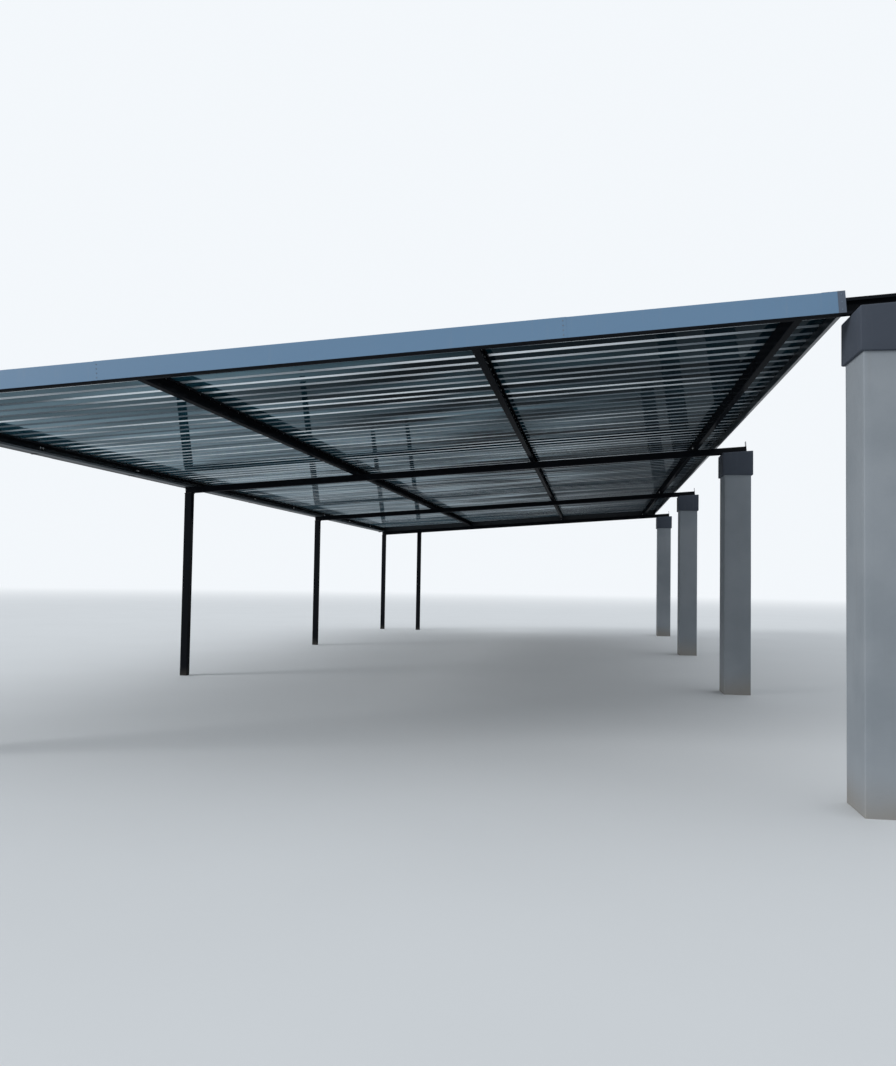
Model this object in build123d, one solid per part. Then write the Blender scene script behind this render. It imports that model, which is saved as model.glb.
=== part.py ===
"""Mono-pitch steel carport on square posts along its low side and plastered piers along its high side.

X runs across the roof, from the gutter up to the piers. Y runs from the front fascia to the back.
Z is up, and the floor is Z = 0 under the middle of the whole carport. All sizes are in millimetres.
"""
import math
import os

from build123d import *

# Plan of the roof
bay_length = 5850.0          # from one rafter's middle to the next, and from the front beam to the first
bay_count = 3
purlin_spacing = 2200.0      # between the middles of the three lower purlins, along the slope
high_purlin_spacing = 1925.0  # from the right purlin to the one at the high side
roof_slope = 4.1             # degrees
eave_clearance = 2310.0      # floor to the rafters' underside at the middle of the posts
sheet_low_overhang = 55.0    # past the eave purlin, over the gutter
sheet_high_overhang = 235.0  # past the high side purlin

# Steel sections
post_size = 90.0
post_wall = 2.0
rafter_size = 76.0
rafter_wall = 2.0
channel_depth = 100.0        # lipped channels: purlins and front beam
channel_width = 50.0
channel_lip = 20.0
channel_wall = 2.0
cap_plate_thickness = 5.0
cap_plate_margin = 7.0       # the cap plate stands out past the post and past the rafter on it
end_plate_thickness = 5.0
end_plate_upstand = 60.0     # above the rafter
inner_post_offset = 880.0    # from the back corner post to its neighbour, across the roof

# Cleats
cleat_leg = 45.0
cleat_thickness = 4.0
cleat_length = 60.0

# Roof sheets
sheet_thickness = 0.6
rib_height = 38.0
rib_foot = 64.0
rib_top = 34.0
rib_pitch_aim = 200.0        # the real pitch is trimmed so that whole sheets fill the roof
ribs_per_sheet = 4
lap_clearance = 0.4          # between the two sheets of a side lap

# Folded flashings
flashing_thickness = 0.8
fascia_drop = 128.0          # height of the fascia's upright face
fascia_top_leg = 130.0       # the leg that lies on the ribs
side_return = 25.0           # the side flashing's leg under the sheets
corner_lap = 43.0            # each leg of the covers on the high corners
edge_clearance = 0.3         # between sheets that lie side by side or on each other

# Gutter and its outlet
gutter_width = 100.0
gutter_depth = 87.0
gutter_wall = 0.8
gutter_bead = 8.0            # the fold along the outer lip
bracket_first = 600.0        # from the front beam's middle to the first bracket
bracket_spacing = 1950.0
bracket_width = 25.0
bracket_thickness = 2.0
outlet_from_front = 60.0     # from the front beam's middle to the outlet's middle
outlet_plate = 160.0         # length of the floor plate with the outlet in it
pipe_width = 70.0
pipe_wall = 1.2
pipe_floor_gap = 120.0
clip_height = 25.0
clip_thickness = 3.0
clip_levels = (450.0, 1750.0)

# Piers
pier_width = 300.0
pier_depth = 400.0
band_height = 270.0
band_proud = 20.0
roof_to_pier = 20.0          # from the side flashing to the pier band
stub_inset = 30.0            # the rafter stops this far inside the pier's outer face

# Levels in the roof's own frame: U up the slope from the posts' middle, W square to the sheets
rafter_top = rafter_size
purlin_top = rafter_top + channel_depth
rib_crest = purlin_top + rib_height + sheet_thickness
overlap_lift = sheet_thickness + lap_clearance
flashing_bed = rib_crest + overlap_lift + edge_clearance
gutter_top = purlin_top - edge_clearance
gutter_bottom = gutter_top - gutter_depth

# Places up the slope
steel_low_end = -rafter_size / 2
purlin_middles = [steel_low_end + channel_width / 2 + n * purlin_spacing for n in range(3)]
purlin_middles.append(purlin_middles[-1] + high_purlin_spacing)
sheet_low_end = steel_low_end - sheet_low_overhang
sheet_high_end = purlin_middles[-1] + channel_width / 2 + sheet_high_overhang
side_face = sheet_high_end + edge_clearance
gutter_back = steel_low_end - edge_clearance
gutter_outer = gutter_back - gutter_width

# Places along the building
roof_length = bay_count * bay_length
front_line = -roof_length / 2
rafter_lines = [front_line + n * bay_length for n in range(1, bay_count + 1)]
back_line = rafter_lines[-1]
beam_front = front_line - channel_width / 2
beam_back = front_line + channel_width / 2
roof_back = back_line + rafter_size / 2

# Places across the building, first measured from the posts' middle
slope = math.radians(roof_slope)
rise = math.tan(slope)


def floor_distance(up_slope, level):
    """The level distance from the posts' middle of a point that is given in the roof's frame."""
    return up_slope * math.cos(slope) - level * math.sin(slope)


pier_inner = floor_distance(side_face + flashing_thickness, 0) + roof_to_pier + band_proud
pier_outer = pier_inner + pier_width
low_extent = floor_distance(gutter_outer - gutter_bead, flashing_bed + flashing_thickness)
high_extent = pier_outer + band_proud
post_line = -(low_extent + high_extent) / 2
pier_line = post_line + (pier_inner + pier_outer) / 2
stub_end = (pier_outer - stub_inset) / math.cos(slope)

roof_frame = Location((post_line, 0, eave_clearance), (0, -roof_slope, 0))
nodes = {}


def in_roof(shape):
    """The same shape, moved from the roof's frame to its place on the carport."""
    return shape.moved(roof_frame)


def block(x_span, y_span, z_span):
    """A box between two limits along each axis."""
    size = [high - low for low, high in (x_span, y_span, z_span)]
    middle = [(high + low) / 2 for low, high in (x_span, y_span, z_span)]
    return Pos(*middle) * Box(*size)


def below_plane(shape, level):
    """What is left of an upright shape under the plane at this level of the roof's frame."""
    reach = 4 * (stub_end + bay_length)
    cutter = block((-reach, reach), (-reach, reach), (level, level + reach))
    return shape - in_roof(cutter)


def square_tube(size, wall, length):
    """A square tube that stands on the origin, its corners bent round an inner radius of one wall."""
    outer = RectangleRounded(size, size, 2 * wall)
    inner = RectangleRounded(size - 2 * wall, size - 2 * wall, wall)
    return extrude(outer - inner, length)


def lipped_channel(length):
    """A lipped channel along Y from the origin, its web on the low side and its bottom at W = 0."""
    half = channel_width / 2
    section = block((-half, half), (0, length), (0, channel_depth))
    section -= block((-half + channel_wall, half - channel_wall), (0, length),
                     (channel_wall, channel_depth - channel_wall))
    mouth = block((0, half), (0, length), (channel_lip, channel_depth - channel_lip))
    return section - mouth


def thick_fold(points, thickness, grow_left=True):
    """A closed face as thick as a sheet along an open line of (a, b) points, drawn in the XY plane.

    The sheet grows to the left of the line's direction, or else to its right.
    """
    side = 1.0 if grow_left else -1.0
    normals = []
    for (a0, b0), (a1, b1) in zip(points, points[1:]):
        run = math.hypot(a1 - a0, b1 - b0)
        normals.append((-(b1 - b0) / run * side, (a1 - a0) / run * side))
    offset_points = []
    for index, (a, b) in enumerate(points):
        before = normals[max(index - 1, 0)]
        after = normals[min(index, len(normals) - 1)]
        spread = 1 + before[0] * after[0] + before[1] * after[1]
        offset_points.append((a + thickness * (before[0] + after[0]) / spread,
                              b + thickness * (before[1] + after[1]) / spread))
    return make_face(Polyline(*points, *reversed(offset_points), close=True))


def fold_along_u(points, thickness, u_span, grow_left=True):
    """A folded sheet whose (y, w) line is carried up the slope between two limits."""
    face = Plane.YZ.offset(u_span[0]) * thick_fold(points, thickness, grow_left)
    return extrude(face, u_span[1] - u_span[0], dir=(1, 0, 0))


def fold_along_y(points, thickness, y_span, grow_left=True):
    """A folded sheet whose (u, w) line is carried along the building between two limits."""
    section = Plane.XZ * thick_fold(points, thickness, grow_left)
    return extrude(Pos(0, y_span[0], 0) * section, y_span[1] - y_span[0], dir=(0, 1, 0))


def fold_along_w(points, thickness, w_span, grow_left=True):
    """A folded sheet whose (u, y) line is carried square to the roof between two limits."""
    face = Pos(0, 0, w_span[0]) * thick_fold(points, thickness, grow_left)
    return extrude(face, w_span[1] - w_span[0], dir=(0, 0, 1))


def make_posts():
    """Five square posts, cut to the slope under their cap plates, and the plates themselves."""
    back_inner = inner_post_offset
    places = {
        "front_left_post": (0.0, front_line, rafter_top, post_size),
        "second_post": (0.0, rafter_lines[0], 0.0, rafter_size),
        "third_post": (0.0, rafter_lines[1], 0.0, rafter_size),
        "back_corner_post": (0.0, back_line, 0.0, rafter_size),
        "back_inner_post": (back_inner, back_line, 0.0, rafter_size),
    }
    half_run = post_size / 2 + cap_plate_margin
    plates = []
    for name, (offset, y, seat, carried) in places.items():
        tall = eave_clearance + (offset + post_size) * rise + 2 * rafter_size
        tube = Pos(post_line + offset, y, 0) * square_tube(post_size, post_wall, tall)
        nodes[name] = below_plane(tube, seat - cap_plate_thickness)
        half_width = carried / 2 + cap_plate_margin
        plate_u = (offset + seat * math.sin(slope)) / math.cos(slope)
        plates.append(in_roof(block((plate_u - half_run, plate_u + half_run),
                                    (y - half_width, y + half_width),
                                    (seat - cap_plate_thickness, seat))))
    nodes["post_cap_plates"] = Compound(children=plates)


def make_beams():
    """The front beam, the three rafters and the upright plates on their high ends."""
    run = stub_end - steel_low_end
    lying = Plane(origin=(steel_low_end, 0, rafter_size / 2), x_dir=(0, 1, 0), z_dir=(1, 0, 0))
    names = ["front_rafter", "middle_rafter", "back_rafter"]
    names += [f"rafter_{n}" for n in range(len(names) + 1, bay_count + 1)]
    plates = []
    for name, y in zip(names, rafter_lines):
        tube = lying * square_tube(rafter_size, rafter_wall, run)
        nodes[name] = in_roof(Pos(0, y, 0) * tube)
        plates.append(in_roof(block((stub_end, stub_end + end_plate_thickness),
                                    (y - rafter_size / 2, y + rafter_size / 2),
                                    (0, rafter_size + end_plate_upstand))))
    nodes["rafter_end_plates"] = Compound(children=plates)
    beam = Rot(0, 0, -90) * lipped_channel(run)
    nodes["front_beam"] = in_roof(Pos(steel_low_end, front_line, rafter_top) * beam)


def make_purlins():
    """Four lipped channels from the front beam to the back, on top of the rafters."""
    names = ("eave_purlin", "left_purlin", "right_purlin", "high_side_purlin")
    start = beam_back + edge_clearance
    for name, middle in zip(names, purlin_middles):
        channel = lipped_channel(roof_back - start)
        nodes[name] = in_roof(Pos(middle, start, rafter_top) * channel)


def make_cleats():
    """Angles on the low side of three purlins, on each rafter and against the front beam."""
    on_rafters, on_beam = [], []
    for middle in purlin_middles[1:]:
        web = middle - channel_width / 2
        upright = (web - cleat_thickness, web)
        foot = (web - cleat_leg, web - cleat_thickness)
        for y in rafter_lines:
            along = (y - cleat_length / 2, y + cleat_length / 2)
            angle = block(upright, along, (rafter_top, rafter_top + cleat_leg + cleat_thickness))
            angle += block(foot, along, (rafter_top, rafter_top + cleat_thickness))
            on_rafters.append(in_roof(angle))
        levels = (rafter_top + (channel_depth - cleat_length) / 2,
                  rafter_top + (channel_depth + cleat_length) / 2)
        angle = block(upright, (beam_back, beam_back + cleat_leg), levels)
        angle += block(foot, (beam_back, beam_back + cleat_thickness), levels)
        on_beam.append(in_roof(angle))
    nodes["purlin_cleats"] = Compound(children=on_rafters)
    nodes["beam_cleats"] = Compound(children=on_beam)


def rib(middle, lift):
    """The four (y, w) corners of one rib, grown by its lift where it laps over another."""
    flank = (rib_foot - rib_top) / 2
    shift = lift * math.hypot(rib_height, flank) / rib_height
    top_half = rib_top / 2 + shift - lift * flank / rib_height
    foot_half = rib_foot / 2 + shift
    base = purlin_top
    crest = purlin_top + rib_height + lift
    return [(middle - foot_half, base), (middle - top_half, crest),
            (middle + top_half, crest), (middle + foot_half, base)]


def make_sheets():
    """Box-rib sheets across the roof, one node for each bay, each sheet lapped over the next."""
    first_rib = beam_front + edge_clearance + rib_foot / 2
    last_rib = roof_back - edge_clearance - rib_foot / 2 - 2 * overlap_lift
    sheet_count = round((last_rib - first_rib) / (rib_pitch_aim * ribs_per_sheet))
    pitch = (last_rib - first_rib) / (sheet_count * ribs_per_sheet)
    bays = ("front", "middle", "back")
    sheets = {f"roof_sheets_{bay}": [] for bay in bays}
    for index in range(sheet_count):
        start = first_rib + index * ribs_per_sheet * pitch
        line = []
        for n in range(ribs_per_sheet):
            line += rib(start + n * pitch, 0.0)
        lap = rib(start + ribs_per_sheet * pitch, overlap_lift)
        far_flank_height = 0.3
        top, foot = lap[2], lap[3]
        cut = (foot[0] + (top[0] - foot[0]) * far_flank_height,
               foot[1] + (top[1] - foot[1]) * far_flank_height)
        line += lap[:3] + [cut]
        sheet = fold_along_u(line, sheet_thickness, (sheet_low_end, sheet_high_end))
        bay = bays[min(index * len(bays) // sheet_count, len(bays) - 1)]
        sheets[f"roof_sheets_{bay}"].append(in_roof(sheet))
    for name, group in sheets.items():
        nodes[name] = Compound(children=group)


def make_flashings():
    """Folded flashings along the front, the back and the high side, and a cover on each high corner."""
    low = gutter_outer - gutter_bead
    bottom = flashing_bed + flashing_thickness - fascia_drop
    front = beam_front - edge_clearance
    back = roof_back + edge_clearance
    line = [(front, bottom), (front, flashing_bed), (front + fascia_top_leg, flashing_bed)]
    nodes["front_fascia"] = in_roof(fold_along_u(line, flashing_thickness, (low, sheet_high_end)))
    line = [(back, bottom), (back, flashing_bed), (back - fascia_top_leg, flashing_bed)]
    nodes["back_fascia"] = in_roof(fold_along_u(line, flashing_thickness, (low, sheet_high_end), False))

    outside = flashing_thickness + edge_clearance
    corner = side_face + outside
    side_bed = flashing_bed + outside
    levels = (bottom - flashing_thickness, side_bed + flashing_thickness)
    beam_room = block((side_face - side_return, corner + flashing_thickness),
                      (beam_front - edge_clearance, beam_back + edge_clearance),
                      (levels[0], purlin_top + edge_clearance))
    line = [(side_face - side_return, bottom), (side_face, bottom), (side_face, side_bed),
            (side_face - fascia_top_leg, side_bed)]
    along = (front + edge_clearance, back - edge_clearance)
    side = fold_along_y(line, flashing_thickness, along, False)
    nodes["side_flashing"] = in_roof(side - beam_room)

    covers = []
    for face, inward in ((front - outside, 1), (back + outside, -1)):
        line = [(corner - corner_lap, face), (corner, face), (corner, face + inward * corner_lap)]
        cover = fold_along_w(line, flashing_thickness, levels, inward < 0)
        covers.append(in_roof(cover - beam_room))
    nodes["corner_covers"] = Compound(children=covers)


def make_gutter():
    """The box gutter's floor and outlet plate, its two walls, its end caps and its brackets."""
    along = (beam_front + gutter_wall, roof_back - gutter_wall)
    floor_top = gutter_bottom + gutter_wall
    outlet_y = front_line + outlet_from_front
    middle = (gutter_back + gutter_outer) / 2
    bore = pipe_width / 2 - pipe_wall
    plate_end = along[0] + outlet_plate
    plate = block((gutter_outer, gutter_back), (along[0], plate_end), (gutter_bottom, floor_top))
    plate -= block((middle - bore, middle + bore), (outlet_y - bore, outlet_y + bore),
                   (gutter_bottom, floor_top))
    nodes["gutter_outlet"] = in_roof(plate)
    floor = block((gutter_outer, gutter_back), (plate_end, along[1]), (gutter_bottom, floor_top))
    nodes["gutter_floor"] = in_roof(floor)
    back_wall = block((gutter_back - gutter_wall, gutter_back), along, (floor_top, gutter_top))
    nodes["gutter_back_wall"] = in_roof(back_wall)
    outer_side = gutter_outer + gutter_wall
    outer_wall = block((gutter_outer, outer_side), along, (floor_top, gutter_top))
    outer_wall += block((gutter_outer - gutter_bead, outer_side), along,
                        (gutter_top, gutter_top + gutter_wall))
    nodes["gutter_outer_wall"] = in_roof(outer_wall)

    caps = [block((gutter_outer, gutter_back), (end, end + gutter_wall), (gutter_bottom, gutter_top))
            for end in (beam_front, roof_back - gutter_wall)]
    nodes["gutter_end_caps"] = in_roof(Compound(children=caps))

    straps = []
    under = gutter_bottom - edge_clearance
    outside = gutter_outer - edge_clearance
    lip = gutter_top - gutter_wall - edge_clearance
    y = front_line + bracket_first
    while y < back_line:
        strap_line = [(gutter_back, under), (outside, under), (outside, lip)]
        strap = fold_along_y(strap_line, bracket_thickness,
                             (y - bracket_width / 2, y + bracket_width / 2))
        straps.append(in_roof(strap))
        y += bracket_spacing
    nodes["gutter_brackets"] = Compound(children=straps)


def make_downpipe():
    """A square pipe from the gutter's outlet down beside the front post, and the clips that hold it."""
    x = post_line + floor_distance((gutter_back + gutter_outer) / 2, gutter_bottom)
    y = front_line + outlet_from_front
    half = pipe_width / 2
    tube = Pos(x, y, pipe_floor_gap) * square_tube(pipe_width, pipe_wall, eave_clearance)
    nodes["downpipe"] = below_plane(tube, gutter_bottom)
    post_face = post_line - post_size / 2
    post_edge = front_line + post_size / 2
    clips = []
    for level in clip_levels:
        height = (level, level + clip_height)
        band = half + clip_thickness
        clip = block((x - band, x + band), (y - band, y + band), height)
        clip += block((x + half, post_face), (y - band, post_edge), height)
        clips.append(clip - block((x - half, x + half), (y - half, y + half), height))
    nodes["downpipe_clips"] = Compound(children=clips)


def make_piers():
    """Four plastered piers with a proud band round the top, cut to the slope under the steel."""
    names = ["front_pier", "second_pier", "third_pier", "back_pier"]
    names += [f"pier_{n}" for n in range(len(names) + 1, bay_count + 2)]
    seats = [rafter_top] + [0.0] * bay_count
    inner = pier_line - pier_width / 2
    outer = pier_line + pier_width / 2
    for name, y, seat in zip(names, [front_line] + rafter_lines, seats):
        seat_height = eave_clearance + seat / math.cos(slope) + (pier_line - post_line) * rise
        tall = seat_height + pier_width
        half = pier_depth / 2
        shaft = block((inner, outer), (y - half, y + half), (0, tall))
        band = block((inner - band_proud, outer + band_proud),
                     (y - half - band_proud, y + half + band_proud),
                     (seat_height - band_height, tall))
        nodes[name] = below_plane(shaft, seat)
        nodes[f"{name}_band"] = below_plane(band - shaft, seat)


make_posts()
make_beams()
make_purlins()
make_cleats()
make_sheets()
make_flashings()
make_gutter()
make_downpipe()
make_piers()

os.makedirs("parts", exist_ok=True)
for node_name, shape in nodes.items():
    export_step(shape, f"parts/{node_name}.step")
print(len(nodes), "nodes, post line at", round(post_line, 2), "pier line at", round(pier_line, 2))
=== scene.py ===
"""The looks of a long steel carport: its coatings, folded sheets, fasteners and welds, and its studio.

Lengths are in metres. X runs across the roof from the gutter up to the piers, Y from the front fascia
to the back, and Z is up. The packed parts stay where they are, and each piece here takes its place
from them.
"""

import logging
import math
from dataclasses import dataclass
from enum import Enum
from functools import cache
from typing import Callable, Optional, Sequence, Union

import bpy
from mathutils import Matrix, Vector, noise


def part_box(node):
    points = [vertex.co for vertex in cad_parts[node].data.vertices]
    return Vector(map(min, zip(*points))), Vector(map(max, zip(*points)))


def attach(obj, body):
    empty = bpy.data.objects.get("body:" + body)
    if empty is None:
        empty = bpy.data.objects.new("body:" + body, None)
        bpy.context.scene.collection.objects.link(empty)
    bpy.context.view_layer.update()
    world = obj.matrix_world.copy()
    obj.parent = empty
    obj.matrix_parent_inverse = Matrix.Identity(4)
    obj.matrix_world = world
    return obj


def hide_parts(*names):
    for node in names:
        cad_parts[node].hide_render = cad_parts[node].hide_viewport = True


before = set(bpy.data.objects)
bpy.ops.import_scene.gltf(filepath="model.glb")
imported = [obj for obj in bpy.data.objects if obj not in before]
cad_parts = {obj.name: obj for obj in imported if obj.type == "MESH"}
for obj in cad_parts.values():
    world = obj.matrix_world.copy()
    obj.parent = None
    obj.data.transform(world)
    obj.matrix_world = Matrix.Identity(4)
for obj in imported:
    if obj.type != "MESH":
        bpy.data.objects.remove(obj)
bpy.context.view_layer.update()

Number = Union[int, float]
Triple = tuple[float, float, float]
Colour = Triple
Range = tuple[float, float]
Line = list[tuple[float, float]]
Seat = tuple[Vector, Vector]
Piece = bpy.types.Object
BODY = "root"
log = logging.getLogger("carport")


# Node trees that are wired up by plain expressions

@dataclass(frozen=True, eq=False)
class Wire:
    """A socket of a node tree that takes part in Python arithmetic."""

    board: "Board"
    socket: bpy.types.NodeSocket

    def math(self, operation: str, *terms: "Term") -> "Wire":
        """The result of a Math node on this value and the others."""
        return self.board.math(operation, self, *terms)

    def __add__(self, other: "Term") -> "Wire":
        """This value plus the other."""
        return self.math("ADD", other)

    def __sub__(self, other: "Term") -> "Wire":
        """This value less the other."""
        return self.math("SUBTRACT", other)

    def __rsub__(self, other: "Term") -> "Wire":
        """The other value less this one."""
        return self.board.math("SUBTRACT", other, self)

    def __mul__(self, other: "Term") -> "Wire":
        """This value times the other."""
        return self.math("MULTIPLY", other)

    def __truediv__(self, other: "Term") -> "Wire":
        """This value divided by the other."""
        return self.math("DIVIDE", other)

    def __abs__(self) -> "Wire":
        """This value without its sign."""
        return self.math("ABSOLUTE")

    __radd__ = __add__
    __rmul__ = __mul__

    def ease(self, low: "Term", high: "Term") -> "Wire":
        """A smooth step from 0 where this value is low to 1 where it is high."""
        return self.board.node("ShaderNodeMapRange", {"interpolation_type": "SMOOTHSTEP"},
                               {"Value": self, "From Min": low, "From Max": high})


Term = Union[Wire, Number]


class Board:
    """A node tree with one method for every kind of node."""

    def __init__(self, tree: bpy.types.NodeTree) -> None:
        """Keeps the tree."""
        self.tree = tree

    @staticmethod
    def pick(group: Sequence[bpy.types.NodeSocket], key: Union[int, str]) -> bpy.types.NodeSocket:
        """The socket at a place in the group, or the first one in use that has a name.

        Args:
            group: The sockets on one side of a node.
            key: A place or a name.

        Returns:
            The socket.
        """
        if isinstance(key, int):
            return group[key]
        return next(socket for socket in group if socket.name == key and socket.enabled)

    def node(self, kind: str, settings: Optional[dict] = None, values: Optional[dict] = None,
             output: Union[int, str, None] = 0) -> Optional[Wire]:
        """Adds one node.

        Args:
            kind: The node's type.
            settings: Its properties, which are set first.
            values: What its sockets hold, by name or place: wires, numbers, colours or vectors.
            output: The socket that is handed back, or None for a node at the end of a tree.

        Returns:
            The chosen output.
        """
        made = self.tree.nodes.new(kind)
        for name, value in (settings or {}).items():
            setattr(made, name, value)
        for key, value in (values or {}).items():
            socket = self.pick(made.inputs, key)
            for item in value if isinstance(value, list) else [value]:
                if isinstance(item, Wire):
                    self.tree.links.new(item.socket, socket)
                elif socket.type == "RGBA":
                    socket.default_value = (*item, 1.0)
                else:
                    socket.default_value = item
        return None if output is None else Wire(self, self.pick(made.outputs, output))

    def others(self, wire: Wire, *names: str) -> list[Wire]:
        """More outputs of the node that a wire comes from."""
        return [Wire(self, self.pick(wire.socket.node.outputs, name)) for name in names]

    def math(self, operation: str, *terms: Term) -> Wire:
        """One Math node on its terms."""
        return self.node("ShaderNodeMath", {"operation": operation}, dict(enumerate(terms)))

    def vector(self, x: Term = 0.0, y: Term = 0.0, z: Term = 0.0) -> Wire:
        """A vector of three values."""
        return self.node("ShaderNodeCombineXYZ", values={"X": x, "Y": y, "Z": z})


class Recipe(Board):
    """One paint or surface, built up value by value."""

    def __init__(self, name: str) -> None:
        """Starts an empty material of that name.

        Args:
            name: The material's name.
        """
        self.material = bpy.data.materials.new(name)
        self.material.use_nodes = True
        super().__init__(self.material.node_tree)
        self.tree.nodes.clear()
        self.here = self.node("ShaderNodeTexCoord", output="Object")

    def axes(self, source: str = "Object") -> list[Wire]:
        """The three parts of a texture coordinate, such as the place or the surface's normal."""
        split = self.node("ShaderNodeSeparateXYZ", values={0: self.others(self.here, source)[0]})
        return self.others(split, "X", "Y", "Z")

    def noise(self, size: float, stretch: Triple = (1.0, 1.0, 1.0), detail: float = 3.0,
              start: float = 0.0) -> Wire:
        """Cloudy noise from 0 to 1.

        Args:
            size: The width of its clouds.
            stretch: How many times longer they are along each axis.
            detail: How many finer layers it has.
            start: A shift that makes this noise differ from another.

        Returns:
            The noise's value.
        """
        scale = tuple(1.0 / (size * part) for part in stretch)
        place = self.node("ShaderNodeMapping", values={"Vector": self.here, "Scale": scale,
                                                       "Location": (start, -start, start)})
        return self.cloud(place, detail)

    def cloud(self, place: Wire, detail: float) -> Wire:
        """Noise whose clouds are one unit wide, with this many finer layers."""
        return self.node("ShaderNodeTexNoise", values={"Vector": place, "Scale": 1.0,
                                                       "Detail": detail})

    def blend(self, low: Union[Wire, Colour], high: Union[Wire, Colour], factor: Term) -> Wire:
        """A colour between two others."""
        return self.node("ShaderNodeMix", {"data_type": "RGBA"},
                         {"Factor": factor, "A": low, "B": high}, output="Result")

    def dents(self, height: Term, depth: float, normal: Optional[Wire] = None) -> Wire:
        """A normal that follows a height from 0 to 1, this many metres deep."""
        under = {} if normal is None else {"Normal": normal}
        return self.node("ShaderNodeBump", values={"Height": height, "Distance": depth, **under})

    def finish(self, **sockets: Union[Term, Colour]) -> bpy.types.Material:
        """The material, with its shader's sockets given by name, an underscore for each space."""
        values = {name.replace("_", " "): value for name, value in sockets.items()}
        return self.close(self.node("ShaderNodeBsdfPrincipled", values=values))

    def close(self, shader: Wire) -> bpy.types.Material:
        """The material, with this shader as its surface."""
        self.node("ShaderNodeOutputMaterial", values={"Surface": shader}, output=None)
        return self.material


class Pattern(Board):
    """A geometry node tree with named inputs, which ends in a plain mesh with its finishes."""

    def __init__(self, name: str) -> None:
        """Starts an empty tree that takes a mesh and gives a mesh.

        Args:
            name: The tree's name.
        """
        super().__init__(bpy.data.node_groups.new(name, "GeometryNodeTree"))
        self.values: dict[str, object] = {}
        self.add_socket("Geometry", "INPUT", "Geometry")
        self.add_socket("Geometry", "OUTPUT", "Geometry")
        self.given = self.node("NodeGroupInput", output="Geometry")

    def add_socket(self, name: str, side: str, kind: str) -> str:
        """Adds an input or output to the tree itself, and gives its identifier."""
        group = self.tree.interface
        return group.new_socket(name, in_out=side, socket_type=f"NodeSocket{kind}").identifier

    def take(self, sizes: dict[str, Union[Number, Triple]]) -> list[Wire]:
        """Gives the tree named inputs: whole numbers, floats or vectors.

        Args:
            sizes: Each input's name and value.

        Returns:
            A wire from each input, in the same order.
        """
        kinds = {int: "Int", float: "Float", tuple: "Vector"}
        for name, value in sizes.items():
            self.values[self.add_socket(name, "INPUT", kinds[type(value)])] = value
        return self.others(self.given, *sizes)

    def shift(self, mesh: Wire, **place: Term) -> Wire:
        """The same geometry, moved along the axes that are named."""
        return self.node("GeometryNodeTransform",
                         values={"Geometry": mesh, "Translation": self.vector(**place)})

    def drum(self, sides: int, radius: Term, depth: Term, base: Term) -> Wire:
        """An upright prism or cylinder whose lower end is at this height."""
        body = self.node("GeometryNodeMeshCylinder", {"fill_type": "NGON"},
                         {"Vertices": sides, "Radius": radius, "Depth": depth}, "Mesh")
        return self.shift(body, z=base + 0.5 * depth)

    def join(self, *parts: Wire) -> Wire:
        """Several meshes as one."""
        return self.node("GeometryNodeJoinGeometry", values={"Geometry": list(parts)})

    def set_out(self, points: Wire, part: Wire, **more: Wire) -> Wire:
        """One copy of a part on each point."""
        return self.node("GeometryNodeInstanceOnPoints",
                         values={"Points": points, "Instance": part, **more})

    def attribute(self, name: str, kind: str) -> Wire:
        """The value that the mesh holds under a name."""
        return self.node("GeometryNodeInputNamedAttribute", {"data_type": kind}, {"Name": name})

    def mark(self, mesh: Wire, name: str) -> Wire:
        """The same mesh with its faces marked by a true attribute of that name."""
        return self.node("GeometryNodeStoreNamedAttribute", {"data_type": "BOOLEAN", "domain": "FACE"},
                         {"Geometry": mesh, "Name": name, "Value": True})

    def end(self, mesh: Wire, coats: Sequence[tuple["Finish", Optional[str]]],
            crease: float = 0.6) -> None:
        """Closes the tree: plain mesh, soft bends, sharp edges and finishes.

        Args:
            mesh: The geometry to close with.
            coats: Each finish, with the mark of the faces that it covers, or None for all.
            crease: The angle in radians past which an edge stays sharp.
        """
        angle = self.node("GeometryNodeInputMeshEdgeAngle", output="Unsigned Angle")
        sharp = self.node("FunctionNodeCompare", {"operation": "GREATER_THAN"},
                          {"A": angle, "B": crease})
        mesh = self.node("GeometryNodeSetShadeSmooth", {"domain": "FACE"},
                         {"Geometry": mesh, "Shade Smooth": True})
        mesh = self.node("GeometryNodeSetShadeSmooth", {"domain": "EDGE"},
                         {"Geometry": mesh, "Selection": sharp, "Shade Smooth": False})
        mesh = self.node("GeometryNodeRealizeInstances", values={"Geometry": mesh})
        for coat, mark in coats:
            values = {"Geometry": mesh, "Material": paint(coat)}
            if mark:
                values["Selection"] = self.attribute(mark, "BOOLEAN")
            mesh = self.node("GeometryNodeSetMaterial", values=values)
        self.node("NodeGroupOutput", values={"Geometry": mesh}, output=None)

    def grow(self, piece: Piece) -> Piece:
        """Runs the tree on a piece and leaves the result as its plain mesh.

        Args:
            piece: The object whose mesh the tree takes.

        Returns:
            The same piece.
        """
        modifier = piece.modifiers.new(self.tree.name, "NODES")
        modifier.node_group = self.tree
        for key, value in self.values.items():
            modifier[key] = value
        return settle(piece)


# Finishes

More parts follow.
